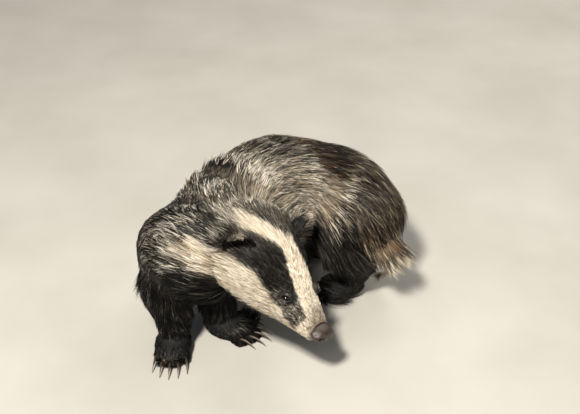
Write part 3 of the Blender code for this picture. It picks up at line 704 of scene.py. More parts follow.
def eye_material():
    """Wet cornea over a near-black iris: a deep brown with a sharp highlight."""
    material, tree, shader = new_material("wet_eye")
    flecks = pattern(tree, "Noise", Scale=700.0, Detail=2.0)
    colour = ramp(tree, flecks.outputs["Fac"], ((0.3, "#040303"), (0.8, "#0F0A07")))
    tree.links.new(colour, shader.inputs["Base Color"])
    shader.inputs["Roughness"].default_value = 0.06
    shader.inputs["IOR"].default_value = 1.38
    shader.inputs["Coat Weight"].default_value = 0.35
    shader.inputs["Coat Roughness"].default_value = 0.03
    return material


def lid_material():
    """Bare moist rim of the lids: black-brown skin with a soft sheen."""
    material, tree, shader = new_material("lid_rim")
    specks = pattern(tree, "Noise", Scale=1500.0, Detail=2.0)
    tone = ramp(tree, specks.outputs["Fac"], ((0.3, "#0B0909"), (0.8, "#221C1A")))
    tree.links.new(tone, shader.inputs["Base Color"])
    shader.inputs["Roughness"].default_value = 0.4
    return material


def nose_material():
    """Moist pebbled nose skin: brown-grey cells about 0.8 mm across, with painted shade in the
    grooves between them and in the nostrils, brown down on top.
    """
    material, tree, shader = new_material("pebbled_nose_skin")
    cells = pattern(tree, "Voronoi", Scale=1250.0).outputs["Distance"]
    patches = pattern(tree, "Noise", Scale=160.0, Detail=4.0).outputs["Fac"]
    tone = ramp(tree, patches, ((0.25, "#2A2220"), (0.6, "#4E4340"), (0.85, "#776B64")))
    # Painted shade: darker in the grooves between the cells, where the bump is low
    groove_shade = ramp(tree, cells, ((0.0, "#FFFFFF"), (0.6, "#B0A8A4")))
    skin = mixed(tree, 1.0, tone, groove_shade, "MULTIPLY")
    down = ramp(tree, patches, ((0.3, "#140E09"), (0.7, "#35261A")))
    skin = mixed(tree, carried(tree, "furred"), skin, down)
    # Painted shade: near black in the hollows of the nostrils
    skin = mixed(tree, carried(tree, "nostril_shade"), skin, "#080606")
    tree.links.new(skin, shader.inputs["Base Color"])
    shader.inputs["Roughness"].default_value = 0.36
    raised(tree, shader, cells, invert=True, Strength=0.6, Distance=0.0004)
    return material


def claw_material():
    """Worn horn: dark brown at the root and paler towards the tip, finely streaked."""
    material, tree, shader = new_material("worn_claw_horn")
    fibres = pattern(tree, "Noise", Scale=420.0, Detail=4.0).outputs["Fac"]
    tone = ramp(tree, carried(tree, "along"), (
        (0.0, "#2A211B"), (0.55, "#4A3B2F"), (1.0, "#8B7B68")))
    streaks = ramp(tree, fibres, ((0.3, "#A8A8A8"), (0.8, "#FFFFFF")))
    tree.links.new(mixed(tree, 1.0, tone, streaks, "MULTIPLY"), shader.inputs["Base Color"])
    shader.inputs["Roughness"].default_value = 0.42
    raised(tree, shader, fibres, Strength=0.3, Distance=0.0003)
    return material


def studio_floor_material():
    """Pale matt studio floor, with a faint unevenness."""
    material, tree, shader = new_material("pale_studio_floor")
    cloud = pattern(tree, "Noise", Scale=6.0, Detail=3.0)
    tone = ramp(tree, cloud.outputs["Fac"], ((0.3, "#97958F"), (0.7, "#A19F9A")))
    tree.links.new(tone, shader.inputs["Base Color"])
    shader.inputs["Roughness"].default_value = 0.8
    return material


def remeshed(name, parts, voxel, passes):
    """One closed surface over overlapping closed parts, then smoothed."""
    item = mesh_object(name, *joined(parts))
    fuse = item.modifiers.new("fuse", "REMESH")
    fuse.mode = "VOXEL"
    fuse.voxel_size = voxel
    soften = item.modifiers.new("soften", "SMOOTH")
    soften.factor = 0.5
    soften.iterations = passes
    graph = bpy.context.evaluated_depsgraph_get()
    mesh = bpy.data.meshes.new_from_object(item.evaluated_get(graph))
    points = np.empty(len(mesh.vertices) * 3, np.float32)
    mesh.vertices.foreach_get("co", points)
    faces = np.empty(len(mesh.loops), np.int32)
    mesh.loops.foreach_get("vertex_index", faces)
    bpy.data.objects.remove(item)
    return points.reshape(-1, 3).astype(float), faces.reshape(-1, 4)


def tube_nearness(points, frames, drop=0.0):
    """How near points are to a body tube: 1 on its surface, more outside.

    It is the least over the rings of the length of (side / width, height / reach), plus
    0.35 (along / step - 1/2)^2 beyond half a step. Also gives the nearest ring and the turn
    round it.
    """
    centres, ways, sides, ups, reaches = frames
    reaches = np.maximum(reaches - drop, 0.004)
    step = np.linalg.norm(np.diff(centres, axis=0), axis=1).mean() * 1.5
    best = np.full(len(points), 1e9)
    ring = np.zeros(len(points), int)
    turn = np.zeros(len(points))
    for k in range(len(centres)):
        apart = points - centres[k]
        across = apart @ sides[k] / reaches[k, 0]
        high = apart @ ups[k]
        high = np.where(high > 0, high / reaches[k, 1], high / reaches[k, 2])
        far = np.abs(apart @ ways[k]) / step
        near = np.sqrt(across ** 2 + high ** 2) + 0.35 * np.maximum(far - 0.5, 0) ** 2
        closer = near < best
        best[closer] = near[closer]
        ring[closer] = k
        turn[closer] = np.arctan2(high, across)[closer]
    return best, ring, turn


def vertex_normals(points, quads):
    """Area-weighted mean of the face normals round each point."""
    corner = points[quads]
    across = np.cross(corner[:, 2] - corner[:, 0], corner[:, 3] - corner[:, 1])
    normals = np.zeros_like(points)
    for k in range(4):
        np.add.at(normals, quads[:, k], across)
    return unit(normals)


def rough(points, scale, seed):
    """Smooth noise, mostly between -1 and 1: nine sines along seeded directions, over 4."""
    chance = np.random.default_rng(seed)
    total = np.zeros(len(points))
    for _ in range(9):
        way = unit(chance.normal(size=3)) * math.tau / (scale * chance.uniform(0.6, 1.6))
        total += np.sin(points @ way + chance.uniform(0, math.tau))
    return total / 4.0


def head_marks(points):
    """Points in the head's frame, and their degrees from the crest, left side positive."""
    local = to_head(points)
    along = np.clip(local[:, 0], HEAD[0, 0], HEAD[-1, 0])
    width, up, down = columns(along, HEAD, (1, 2, 3))
    height = (local[:, 2] - (up - down) / 2) / ((up + down) / 2)
    turn = np.degrees(np.arctan2(local[:, 1] / width, height)) - MARK_TURN
    return local, (turn + 180) % 360 - 180


def neighbour_mean(values, ends, passes):
    """Values smoothed over the skin: each point takes half its own and half its edges' mean."""
    first, second = ends
    count = len(values)
    size = np.bincount(first, minlength=count) + np.bincount(second, minlength=count)
    flat = values.reshape(count, -1)
    for _ in range(passes):
        total = [np.bincount(first, column[second], count) + np.bincount(second, column[first], count)
                 for column in flat.T]
        flat = 0.5 * flat + 0.5 * np.stack(total, 1) / np.maximum(size, 1)[:, None]
    return flat.reshape(values.shape)


def falling_away(points, normals, lie, ends):
    """How fast the skin falls away along the lie, in 1 / metre.

    Over a point's edges it is the sum of (turn of the normal . lie) (edge . lie) divided by
    the sum of (edge . lie)^2.
    """
    first, second = ends
    edge, turn = points[second] - points[first], normals[second] - normals[first]
    count = len(points)
    bend, size = np.zeros(count), np.zeros(count)
    for end in ends:
        along = (edge * lie[end]).sum(1)
        bend += np.bincount(end, (turn * lie[end]).sum(1) * along, count)
        size += np.bincount(end, along ** 2, count)
    return np.clip(neighbour_mean(bend / np.maximum(size, 1e-12), ends, 12), *BEND_LIMITS)


def near_path(points, path):
    """Share of a path's half width that points lie from it, and how far along it they are."""
    best = np.full(len(points), 1e9)
    place = np.zeros(len(points))
    for k, (a, b) in enumerate(zip(path, path[1:])):
        way = b[:3] - a[:3]
        part = np.clip((points - a[:3]) @ way / (way @ way), 0, 1)
        width = a[3] + part * (b[3] - a[3])
        gap = np.linalg.norm(points - a[:3] - part[:, None] * way, axis=1) / width
        closer = gap < best
        best[closer] = gap[closer]
        place[closer] = (k + part[closer]) / (len(path) - 1)
    return best, place


def tube_weights(points):
    """Share of each body tube in the points, and place along and turn round the tubes."""
    tubes = {"torso": torso_frames(), "neck": neck_frames(), "head": head_frames(),
             "tail": tail_frames(), **{name: leg_frames(name) for name in LEGS}}
    share, place, turn, way = {}, {}, {}, {}
    for name, frames in tubes.items():
        drop = COAT_DEPTH["leg" if name in LEGS else name]
        near, ring, turn[name] = tube_nearness(points, frames, drop)
        share[name] = np.exp(-9 * (near - 1))
        place[name] = ring / (len(frames[0]) - 1)
        way[name] = frames[1][ring]
    total = sum(share.values()) + 1e-12
    return {name: value / total for name, value in share.items()}, place, turn, way


def side_of(local):
    """1 for points on the head's left, -1 on its right."""
    return np.where(local[:, 1] < 0, -1.0, 1.0)


def on_right(local):
    """Head points with the left half mirrored to the right, where the trails lie."""
    return np.c_[local[:, 0], -np.abs(local[:, 1]), local[:, 2]]


def hair_lie(points, share, place, turn, way, local):
    """Way that the hair lies: from the nose over neck and back to the tail, and down."""
    down = np.array((0, 0, -1.0))
    side = side_of(local)[:, None] * HEAD_AXES[:, 1]
    way = dict(way)
    way["head"] = unit(-way["head"] + 0.25 * side * smooth(local[:, 0], 0.12, 0.02)[:, None])
    back = place["torso"]
    droop = np.abs(np.cos(turn["torso"]))[:, None]
    chest = smooth(back, 0.30, 0.08)[:, None]
    way["torso"] = unit(way["torso"] * (1 - 0.55 * chest) + down * (0.15 + 0.45 * droop + chest))
    along = np.array((0.8, 0, 0)) * smooth(place["neck"], 0.2, 0.8)[:, None]
    way["neck"] = unit(way["neck"] + down * 0.25 + along)
    for name in LEGS:
        forward = heading_way(LEGS[name][0])
        low = smooth(points[:, 2], 0.030, 0.016)[:, None]
        way[name] = unit(way[name] * (1 - low) + forward * low - 0.25 * forward * (1 - low))
    tail_at = placed(TAIL)[2, :3]
    rear = 0.65 * smooth(points[:, 0], 0.000, 0.085)[:, None]
    way["torso"] = unit(way["torso"] * (1 - rear) + unit(tail_at - points) * rear)
    soft = sum(np.sqrt(share[name]) for name in share)
    lie = sum((np.sqrt(share[name]) / soft)[:, None] * way[name] for name in share)
    gap, _ = near_path(on_right(local), CHEEK_TRAIL)
    near = smooth(gap, 2.2, 1.1)[:, None] * 0.9
    rear = CHEEK_TRAIL[-1, :3] - CHEEK_TRAIL[0, :3]
    rear = np.c_[np.full(len(local), rear[0]), -side_of(local) * rear[1],
                 np.full(len(local), rear[2])]
    return lie * (1 - near) + unit(rear) @ HEAD_AXES.T * near


def face_marks(local, signed, share, wobble):
    """Black stripes, cream stripes and throat, from the tables of edges and the trails."""
    crest = np.abs(signed)
    edge = crest + 1.2 * wobble
    along = local[:, 0] + 0.0012 * rough(local, 0.012, 5)
    upper, lower = columns(along, STRIPE, (1, 2))
    stripe = smooth(edge, upper - 3, upper + 3) * smooth(edge, lower + 4, lower - 4)
    stripe *= smooth(along, -0.038, -0.024) * smooth(along, 0.1055, 0.1020)
    nape, faded = near_path(local, CREST_TRAIL)
    nape = smooth(nape + 0.15 * wobble, 1.15, 0.75)
    beside = smooth(signed, -30, -20) * smooth(signed, lower, lower - 8)
    beside *= smooth(along, -0.062, -0.020) * smooth(along, 0.022, 0.008)
    stripe = np.maximum(stripe * share["head"], beside * 0.85 * smooth(share["torso"], 0.6, 0.3))
    stripe *= 1 - nape
    start, end = columns(along, CHEEK, (1, 2))
    cheek = smooth(edge, start - 5, start + 4) * smooth(edge, end + 5, end - 5)
    cheek *= smooth(along, -0.030, -0.010) * smooth(share["head"], 0.05, 0.40)
    gap, place = near_path(on_right(local), CHEEK_TRAIL)
    cheek = np.maximum(cheek, smooth(gap + 0.12 * wobble, 1.15, 0.75) * smooth(place, 1.05, 0.50))
    crown = smooth(edge, upper + 2, upper - 3) * smooth(along, 0.002, 0.014)
    crown = np.maximum(crown, nape * smooth(faded, 0.95, 0.20))
    muzzle = smooth(along, 0.098, 0.106)
    cream = np.clip(cheek + crown + muzzle, 0, 1) * (1 - stripe)
    throat = smooth(edge, end - 4, end + 6) * smooth(along, 0.095, 0.080) * (along > -0.05)
    return stripe, cream, throat * (1 - muzzle), along


def hair_shape(points, normals, ends, head_start):
    """Lie, length, lift and bend of the hair, with the paws, ears, and ears' insides and rims.

    Each is the sum over the body's tubes of the tube's share times its own value, smoothed
    over the skin, and then mixed with the ears' own.
    """
    share, place, turn, way = tube_weights(points)
    local, signed = head_marks(points)
    crest = np.abs(signed)
    back = place["torso"]
    lie = hair_lie(points, share, place, turn, way, local)
    leg = sum(share[name] for name in LEGS)
    low = sum(share[name] * place[name] for name in LEGS)
    height, inner = np.sin(turn["torso"]), np.cos(turn["torso"])

    # Longest on the rump, shorter below and on the outer shoulder, short on face and paws
    torso_length = 0.038 + 0.008 * smooth(back, 0.3, 0.8) - 0.010 * smooth(-height, 0.1, 0.8)
    torso_length -= 0.010 * smooth(inner, 0.4, -0.4) * smooth(back, 0.50, 0.35)
    length = (share["torso"] * torso_length + share["neck"] * (0.018 + 0.022 * place["neck"])
              + share["head"] * (0.0050 + 0.0105 * smooth(local[:, 0], 0.090, -0.01)
                                  + 0.0090 * smooth(local[:, 0], 0.026, -0.012)
                                  + 0.0120 * smooth(local[:, 0], 0.034, 0.002)
                                  * smooth(crest, 30, 55))
              + leg * (0.034 - 0.024 * np.minimum(1, low * 1.15))
              + share["tail"] * (0.022 - 0.006 * place["tail"]))
    paw = smooth(points[:, 2], 0.036, 0.024) * leg
    length = length * (1 - paw) + 0.0055 * paw
    jowl = smooth(crest, 40, 80) * smooth(local[:, 0], 0.100, 0.055)
    length = length + 0.004 * jowl * share["head"]
    lip = smooth(crest, 85, 110) * smooth(local[:, 0], 0.045, 0.065) * share["head"]
    length = length + 0.0025 * lip
    # Degrees that the hair stands off the skin
    lift = (17 - 4 * smooth(inner, 0.1, -0.5)) * share["torso"] + 15 * share["neck"]
    face_lift = 18 + 20 * np.maximum(jowl, lip) * smooth(local[:, 0], 0.005, 0.030)
    face_lift -= 12 * smooth(local[:, 0], 0.034, 0.002)
    lift += face_lift * share["head"] + (12 + 10 * np.minimum(1, low * 1.5)) * leg
    lift += 9 * share["tail"]
    lie = neighbour_mean(lie, ends, 36)
    length = neighbour_mean(length, ends, 24)

    # Ears: short hair runs up them, with a longer fringe on the rim
    ear, inside, rim = np.zeros((3, len(points)))
    for side in (1, -1):
        root, axes = ear_axes(side)
        near = (points - root) @ axes
        mine = smooth(np.linalg.norm(near / (0.019, 0.025, 0.033), axis=1), 1.05, 0.85)
        mine *= smooth(near[:, 2], -0.002, 0.003)
        ear = np.maximum(ear, mine)
        inside = np.maximum(inside, mine * smooth(normals @ axes[:, 0], 0.0, 0.5))
        lie = lie * (1 - mine[:, None]) + (axes[:, 2] + 0.25 * axes[:, 0]) * mine[:, None]
        fringe = mine * smooth(near[:, 2], 0.0175, 0.0210)
        rim = np.maximum(rim, fringe)
        length = length * (1 - mine) + (0.0050 + 0.0028 * fringe) * mine
    lie = unit(lie)
    facing = (lie * normals).sum(1, keepdims=True)
    # Hair at the head's rear leaves straight back, over the neck's
    free = np.maximum(smooth(local[:, 0], 0.012, -0.012),
                      smooth(local[:, 0], 0.036, 0.012) * smooth(crest, 42, 62))
    free *= np.arange(len(points)) >= head_start
    straight = lie - np.minimum(facing, 0) * normals
    lie = unit(lie - facing * normals)
    bend = falling_away(points, normals, lie, ends) * (1 - free)
    lie = unit(lie * (1 - 0.9 * free[:, None]) + straight * 0.9 * free[:, None])
    return {"lie": lie, "length": length, "lift": lift, "bend": bend, "paw": paw,
            "ear": ear}, inside, rim


def coat_fields(points, quads, normals, head_start):
    """Shape and marks of the coat on the skin's points; head points begin at head_start.

    A hair's marks are those of the place where most of its length has passed.
    """
    ends = np.concatenate([quads[:, [k, (k + 1) % 4]] for k in range(4)]).T
    shape, inside, rim = hair_shape(points, normals, ends, head_start)
    lie, length, bend, ear = [shape[name] for name in ("lie", "length", "bend", "ear")]
    seen = MARK_READ_AT * length[:, None]
    seen = points + lie * seen - normals * bend[:, None] * seen ** 2 / 2
    own = to_head(points)
    share, place, turn, _ = tube_weights(seen)
    back, height, inner = place["torso"], np.sin(turn["torso"]), np.cos(turn["torso"])
    leg = sum(share[name] for name in LEGS)
    local, signed = head_marks(seen)
    crest = np.abs(signed)
    wobble = rough(seen, 0.018, 3)
    stripe, cream, throat, along = face_marks(local, signed, share, wobble)
    front = np.clip(share["head"] + share["neck"] + share["torso"] * smooth(back, 0.45, 0.25), 0, 1)
    cream *= front
    black = np.maximum(stripe, throat * front)
    # Black of belly and legs, up to an edge that changes along the body
    level = seen[:, 2] + 0.006 * wobble + 0.003 * rough(seen, 0.007, 21)
    edge = np.interp(back, *BLACK_EDGE.T)
    edge = np.where(inner > -0.2, edge, np.minimum(edge, OUTER_EDGE))
    edge -= 0.050 * smooth(seen[:, 0], 0.095, 0.122)
    hollow = np.interp(seen[:, 0], *FLANK_EDGE.T)
    edge = np.minimum(edge, hollow + 0.1 * np.maximum(smooth(back, 0.62, 0.52),
                                                      smooth(inner, 0.1, -0.1)))
    brush = share["tail"] * smooth(place["tail"], 0.15, 0.40)
    belly = smooth(level, edge + 0.016, edge - 0.010) * (1 - share["head"] - brush)
    black = np.maximum(black, belly * (1 - cream))
    black = np.maximum(black, leg * smooth(level, edge + 0.010, edge - 0.012))
    black = np.maximum(black, ear)
    cream = np.maximum(cream * (1 - ear), np.maximum(rim * 0.55, inside * 0.1))
    black *= 1 - rim

    # Grizzled grey of shoulder, spine and outer side
    spine = smooth(height, 0.80, 1.0) * 0.45
    shoulder = smooth(seen[:, 0] + 0.25 * (seen[:, 1] + 0.1), 0.015, -0.075)
    outer = smooth(inner, 0.25, -0.6) * 0.5
    shade = np.clip(0.02 + shoulder + spine + outer + 0.14 * wobble, 0, 1)
    shade = shade * (1 - share["neck"]) + 0.80 * share["neck"]
    # Tawny rump with black streaks and a black ridge, and the buff tail
    early = 0.112 - 0.078 * smooth(inner, 0.45, -0.15) + 0.012 * wobble
    early += 0.030 * rough(seen, 0.045, 61)
    rump = smooth(seen[:, 0] - early, -0.055, 0.045)
    rump, height = neighbour_mean(rump, ends, 50), neighbour_mean(height, ends, 50)
    buff = np.clip(share["torso"] * smooth(rump, 0.0, 0.55) + 0.22 * rough(seen, 0.05, 11)
                   * smooth(seen[:, 0], -0.06, 0.0), 0, 1)
    buff = np.maximum(buff, brush * 0.62)
    cream = np.maximum(cream, brush * smooth(place["tail"], 0.3, 0.8) * 0.62)
    streak = smooth(rough(seen, 0.014, 31), -0.70, 0.35) * smooth(height, -0.25, 0.35)
    streak = np.maximum(streak, smooth(height, 0.2, 0.8) * 0.85)
    black = np.maximum(black, smooth(rump, 0.20, 0.80) * share["torso"] * 0.92 * streak)
    ridge = smooth(height, 0.80, 0.98) * smooth(back, 0.42, 0.56) * share["torso"]
    black = np.maximum(black, ridge * 0.55)
    # Dusky snout and brow
    snout = smooth(along - 0.00024 * crest, 0.084, 0.104)
    dusty = smooth(along, 0.045, 0.085) * smooth(crest, 50, 20)
    dusty *= smooth(rough(seen, 0.006, 51), 0.0, 0.8)
    cream *= 1 - np.maximum(0.75 * snout, 0.60 * dusty * share["head"])
    black = np.maximum(black, 0.25 * snout + 0.25 * smooth(along, 0.108, 0.120) * snout)
    # Soot over chest and shoulders
    sooty = smooth(rough(seen, 0.016, 41), -0.1, 0.7) * smooth(back, 0.40, 0.20)
    sooty = np.maximum(sooty, smooth(seen[:, 0], -0.100, -0.140))
    black = np.maximum(black, 0.62 * sooty * share["torso"] * (1 - cream))
    # Bare lids and nose, black round the eyes and grey in front of them
    bare, grey = np.zeros((2, len(points)))
    for side in (1, -1):
        centre, axes = lid_axes(side)
        flat = np.linalg.norm((own - centre) @ axes / LID_REACH, axis=1)
        bare = np.maximum(bare, smooth(flat, 1.10, 0.92))
        length = length * (0.45 + 0.55 * smooth(flat, 1.0, 2.2))
        centre = head_place(EYE_ALONG + 0.014, EYE_TURN + 10, side)[0]
        grey = np.maximum(grey, 0.75 * smooth(np.linalg.norm(local - centre, axis=1), 0.025, 0.015))
        grey = np.maximum(grey, 0.55 * smooth(flat, 1.9, 1.4))
        black = np.maximum(black, 0.9 * smooth(flat, 2.3, 1.7))
    pad = np.linalg.norm((own - NOSE_AT) / NOSE_REACH, axis=1)
    bare = np.maximum(bare, smooth(pad, 1.04, 0.98))
    buff = np.maximum(buff, np.maximum(snout, dusty * share["head"]) * 0.8)
    return {**shape, "length": length, "black": black, "cream": cream, "buff": buff,
            "shade": shade, "bare": bare, "grey": grey * stripe, "back": back,
            "torso": share["torso"] + share["neck"], "head": share["head"], "leg": leg,
            "tail": share["tail"], "fore": share["foreleg_right"] + share["foreleg_left"]}


# The skin's arrays, kept for the coat pieces that grow on it
SKIN = {}


def carve_face(points):
    """Push head points in at the lids' openings and along the mouth.

    Each depth is a smooth step of the distance to the opening's ellipse or the mouth's line.
    """
    local = to_head(points)
    moved = local.copy()
    for side in (1, -1):
        centre, axes = lid_axes(side)
        apart = local - centre
        flat = apart @ axes[:, :2] / LID_SIZES
        inside = smooth(np.linalg.norm(flat, axis=1), 1.10, 0.90) * (apart @ axes[:, 2] > 0)
        near = np.linalg.norm(apart, axis=1) < 0.013
        deep = centre + unit(apart) * 0.0040
        factor = (inside * near)[:, None]
        moved = moved * (1 - factor) + deep * factor
    for side in (1, -1):
        for begin, finish in zip(MOUTH_LINE[:-1], MOUTH_LINE[1:]):
            a, b = head_place(*begin, side)[0], head_place(*finish, side)[0]
            way = b - a
            part = np.clip((local - a) @ way / (way @ way), 0, 1)
            gap = np.linalg.norm(local - a - part[:, None] * way, axis=1)
            depth = 0.0016 * np.exp(-(gap / 0.0011) ** 2)
            moved += (local * (0, -1, 0) / 0.02) * depth[:, None] * 0.4
            moved += unit(local * (0, -1, -0.2)) * depth[:, None] * 0.5
    return from_head(moved)


def build_skin(sizes):
    """Body and head surfaces in one object, with the coat's fields on its points."""
    tubes = [(torso_frames(), 48, "torso"), (neck_frames(), 48, "neck"),
             (tail_frames(), 24, "tail"), *((leg_frames(name), 28, "leg") for name in LEGS)]
    body = [closed_tube(tube_grid(frames, count, COAT_DEPTH[form]))
            for frames, count, form in tubes]
    for name in PAWS:
        body += paw_parts(name)
    head = [closed_tube(tube_grid(head_frames(), 64, FACE_DEPTH)), ear_parts(1), ear_parts(-1)]
    for side in (1, -1):
        centre, _ = head_place(EYE_ALONG, EYE_TURN, side, -EYE_SUNK)
        head.append(ball_grid(from_head(centre), np.eye(3), [sizes.eye_radius + 0.0013] * 3))
    body_points, body_quads = remeshed("body_form", body, sizes.body_voxel, 8)
    head_points, head_quads = remeshed("head_form", head, sizes.head_voxel, 3)
    head_points = carve_face(head_points)
    points = np.vstack([body_points, head_points])
    quads = np.vstack([body_quads, head_quads + len(body_points)])
    skin = mesh_object("skin", points, quads)
    normals = vertex_normals(points, quads)
    fields = coat_fields(points, quads, normals, len(body_points))
    point_values(skin.data, {name: fields[name] for name in (*COLOUR_MARKS, "bare")})
    bpy.context.view_layer.objects.active = skin
    skin.select_set(True)
    bpy.ops.object.mode_set(mode="EDIT")
    bpy.ops.mesh.select_all(action="SELECT")
    bpy.ops.uv.smart_project(angle_limit=math.radians(66), island_margin=0.002)
    bpy.ops.object.mode_set(mode="OBJECT")
    skin.select_set(False)
    skin.data.uv_layers[0].name = "OFBake"
    patches = np.empty(len(skin.data.loops) * 2, np.float32)
    skin.data.uv_layers["OFBake"].data.foreach_get("uv", patches)
    # Skin of the body and of the head that lies inside the other grows no hair
    local = to_head(points)
    from_body = np.arange(len(points)) < len(body_points)
    reach = np.linalg.norm((local * (0, 1, 1) - (0, 0, -0.017)) / (1, 0.056, 0.043), axis=1)
    hidden = from_body & (local[:, 0] > -0.033) & (local[:, 0] < 0.02) & (reach < 1.0)
    hidden |= ~from_body & (local[:, 0] < -0.036)
    fields["bare"] = np.maximum(fields["bare"], hidden)
    SKIN.update(points=points, quads=quads, normals=normals, fields=fields,
                patches=patches.reshape(-1, 4, 2))
    return skin


def sample_roots(chance, want, amount):
    """Random places on the skin, spread by area times a weight on its points.

    A triangle is drawn by its share of the total, and the place in it by two random parts.
    """
    points, quads = SKIN["points"], SKIN["quads"]
    triangles = np.vstack([quads[:, [0, 1, 2]], quads[:, [0, 2, 3]]])
    face = np.tile(np.arange(len(quads)), 2)
    corner = np.vstack([np.tile([0, 1, 2], (len(quads), 1)), np.tile([0, 2, 3], (len(quads), 1))])
    a, b, c = points[triangles].transpose(1, 0, 2)
    area = np.linalg.norm(np.cross(b - a, c - a), axis=1) / 2
    share = area * want[triangles].mean(1)
    total = np.cumsum(share)
    pick = np.searchsorted(total, chance.uniform(0, total[-1], amount))
    pick = np.minimum(pick, len(total) - 1)
    first, second = np.sqrt(chance.uniform(size=amount)), chance.uniform(size=amount)
    weights = np.stack([1 - first, first * (1 - second), first * second], 1)
    place = SKIN["patches"][face[pick][:, None], corner[pick]]
    return triangles[pick], weights, (place * weights[..., None]).sum(1)


def spread(values, triangles, weights):
    """Values at the roots: the sum of weight times value over the triangle's corners."""
    picked = values[triangles]
    if picked.ndim == 3:
        return (picked * weights[..., None]).sum(1)
    return (picked * weights).sum(1)


def clumps(root, size, seed):
    """Number of the clump that each root belongs to: cells of an unevenly shifted grid."""
    shift = np.stack([rough(root, size * 3, seed + k) for k in (1, 2, 3)], 1)
    cell = np.floor((root + 0.35 * size * shift) / size).astype(np.int64)
    key = (cell[:, 0] * 73856093) ^ (cell[:, 1] * 19349663) ^ (cell[:, 2] * 83492791)
    return np.unique(key, return_inverse=True)[1].ravel()


def coat_piece(name, want, amount, widths, spans, seed, clump):
    """Tapered flat strands rooted on the skin, joined into one mesh.

    A strand's middle line is root + L (d0 (s - s^2/2) + d1 s^2/2), which leaves the skin
    along d0, raised by the lift, and ends along d1, which lies on the body. It drops by
    bend (L s)^2 / 2, as the skin falls away under it. The tips of a wisp draw together, and
    so do those of a larger clump. A wisp shares its tone, and its half width tapers as
    1 - s^2.2.
    """
    chance = np.random.default_rng(seed)
    fields = SKIN["fields"]
    triangles, weights, place = sample_roots(chance, want, amount)
    root = spread(SKIN["points"], triangles, weights)
    normal = unit(spread(SKIN["normals"], triangles, weights))
    lie = unit(spread(fields["lie"], triangles, weights))
    length = spread(fields["length"], triangles, weights)
    lift = np.radians(spread(fields["lift"], triangles, weights))
    bend = spread(fields["bend"], triangles, weights)
    side = np.cross(normal, lie)

    group, wisp = clumps(root, clump, seed), clumps(root, clump * 0.26, seed + 5)
    groups, wisps = group.max() + 1, wisp.max() + 1
    pull = -1.0 * root
    for which, count, part in ((group, groups, 0.25), (wisp, wisps, 0.75)):
        size = np.bincount(which, minlength=count)
        middle = np.stack([np.bincount(which, root[:, k], count) / size for k in range(3)], 1)
        pull += part * middle[which]
    pull -= (pull * normal).sum(1, keepdims=True) * normal
    lean = (chance.normal(0, 0.09, groups)[group] + chance.normal(0, 0.10, wisps)[wisp]
            + chance.normal(0, 0.03, amount))
    rise = (chance.normal(0, 0.10, groups)[group] + chance.normal(0, 0.12, wisps)[wisp]
            + chance.normal(0, 0.04, amount))
    tone = np.clip(0.5 + chance.uniform(-0.52, 0.52, wisps)[wisp]
                   + chance.uniform(-0.14, 0.14, groups)[group]
                   + chance.uniform(-0.14, 0.14, amount), 0, 1)
    length = length * chance.uniform(0.80, 1.12, amount) * (1 + 0.10 * chance.normal(
        0, 1, wisps)[wisp].clip(-1.5, 1.5))
    way = unit(lie + side * lean[:, None])
    lift = np.clip(lift * (1 + rise), 0.12, 1.2)
    first = way * np.cos(lift)[:, None] + normal * np.sin(lift)[:, None]
    last = unit(way + np.array((0, 0, -0.06)))

    part = np.linspace(0, 1, spans + 1)
    line = (root[:, None] - normal[:, None] * 0.0006
            + length[:, None, None] * (first[:, None] * (part - part ** 2 / 2)[None, :, None]
                                       + last[:, None] * (part ** 2 / 2)[None, :, None])
            + 0.60 * pull[:, None] * (part ** 2)[None, :, None]
            - normal[:, None] * (bend * length ** 2 / 2)[:, None, None] * (part ** 2)[None, :, None])
    line[..., 2] = np.maximum(line[..., 2], 0.0006)
    roll = chance.normal(0, 0.55, amount)
    width = np.interp(chance.uniform(size=amount), (0, 1), widths) / 2
    across = unit(np.cross(normal, way)) * np.cos(roll)[:, None] + normal * np.sin(roll)[:, None]
    taper = (1 - part[:-1] ** 2.2) * np.minimum(1, 0.55 + part[:-1] * 2)
    edge = across[:, None] * (width[:, None] * taper)[..., None]
    left, right = line[:, :-1] + edge, line[:, :-1] - edge
    points = np.concatenate([np.stack([left, right], 2).reshape(amount, -1, 3),
                             line[:, -1:]], 1)
    per = 2 * spans + 1
    quad = np.arange(spans - 1)[:, None] * 2 + np.array((0, 1, 3, 2))
    start = np.arange(amount) * per
    quads = (start[:, None, None] + quad[None]).reshape(-1, 4)
    tips = start[:, None] + np.array((2 * spans - 2, 2 * spans - 1, 2 * spans))
    loops = np.concatenate([quads.ravel(), tips.ravel()])
    sizes = np.concatenate([np.full(len(quads), 4), np.full(len(tips), 3)])
    mesh = new_mesh(name, points.reshape(-1, 3), loops, sizes)
    step = np.concatenate([np.repeat(part[:-1], 2), [1.0]])
    values = {"along": np.tile(step, amount), "chance": np.repeat(tone, per)}
    for mark in COLOUR_MARKS:
        found = spread(fields[mark], triangles, weights)
        if mark == "black":
            grey = spread(fields["grey"], triangles, weights)
            found = np.clip(found * (1 - 0.26 * grey) - (0.25 * grey + 0.05) * found * tone ** 2,
                            0, 1)
        fuzz = 1.10 * chance.uniform(-0.5, 0.5, wisps)[wisp] + 0.35 * chance.uniform(
            -0.5, 0.5, amount)
        fuzzy = np.clip(found + fuzz * 4 * found * (1 - found), 0, 1)
        values[mark] = np.repeat(fuzzy, per)
    point_values(mesh, values)
    patch = np.concatenate([np.stack([np.tile((0.0, 1.0), spans), np.repeat(part[:-1], 2)], 1),
                            [[0.5, 1.0]]]) * PATCH
    corner = place[:, None] * (1 - 2 * PATCH) + PATCH / 2 + patch[None]
    spot = corner.reshape(-1, 2)[loops]
    layer = mesh.uv_layers.new(name="OFBake")
    layer.data.foreach_set("uv", np.clip(spot, 0, 1).astype(np.float32).ravel())
    item = linked(name, mesh)
    item.data.materials.append(bpy.data.materials["badger_guard_hair"])
    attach(item, "root")
    return item


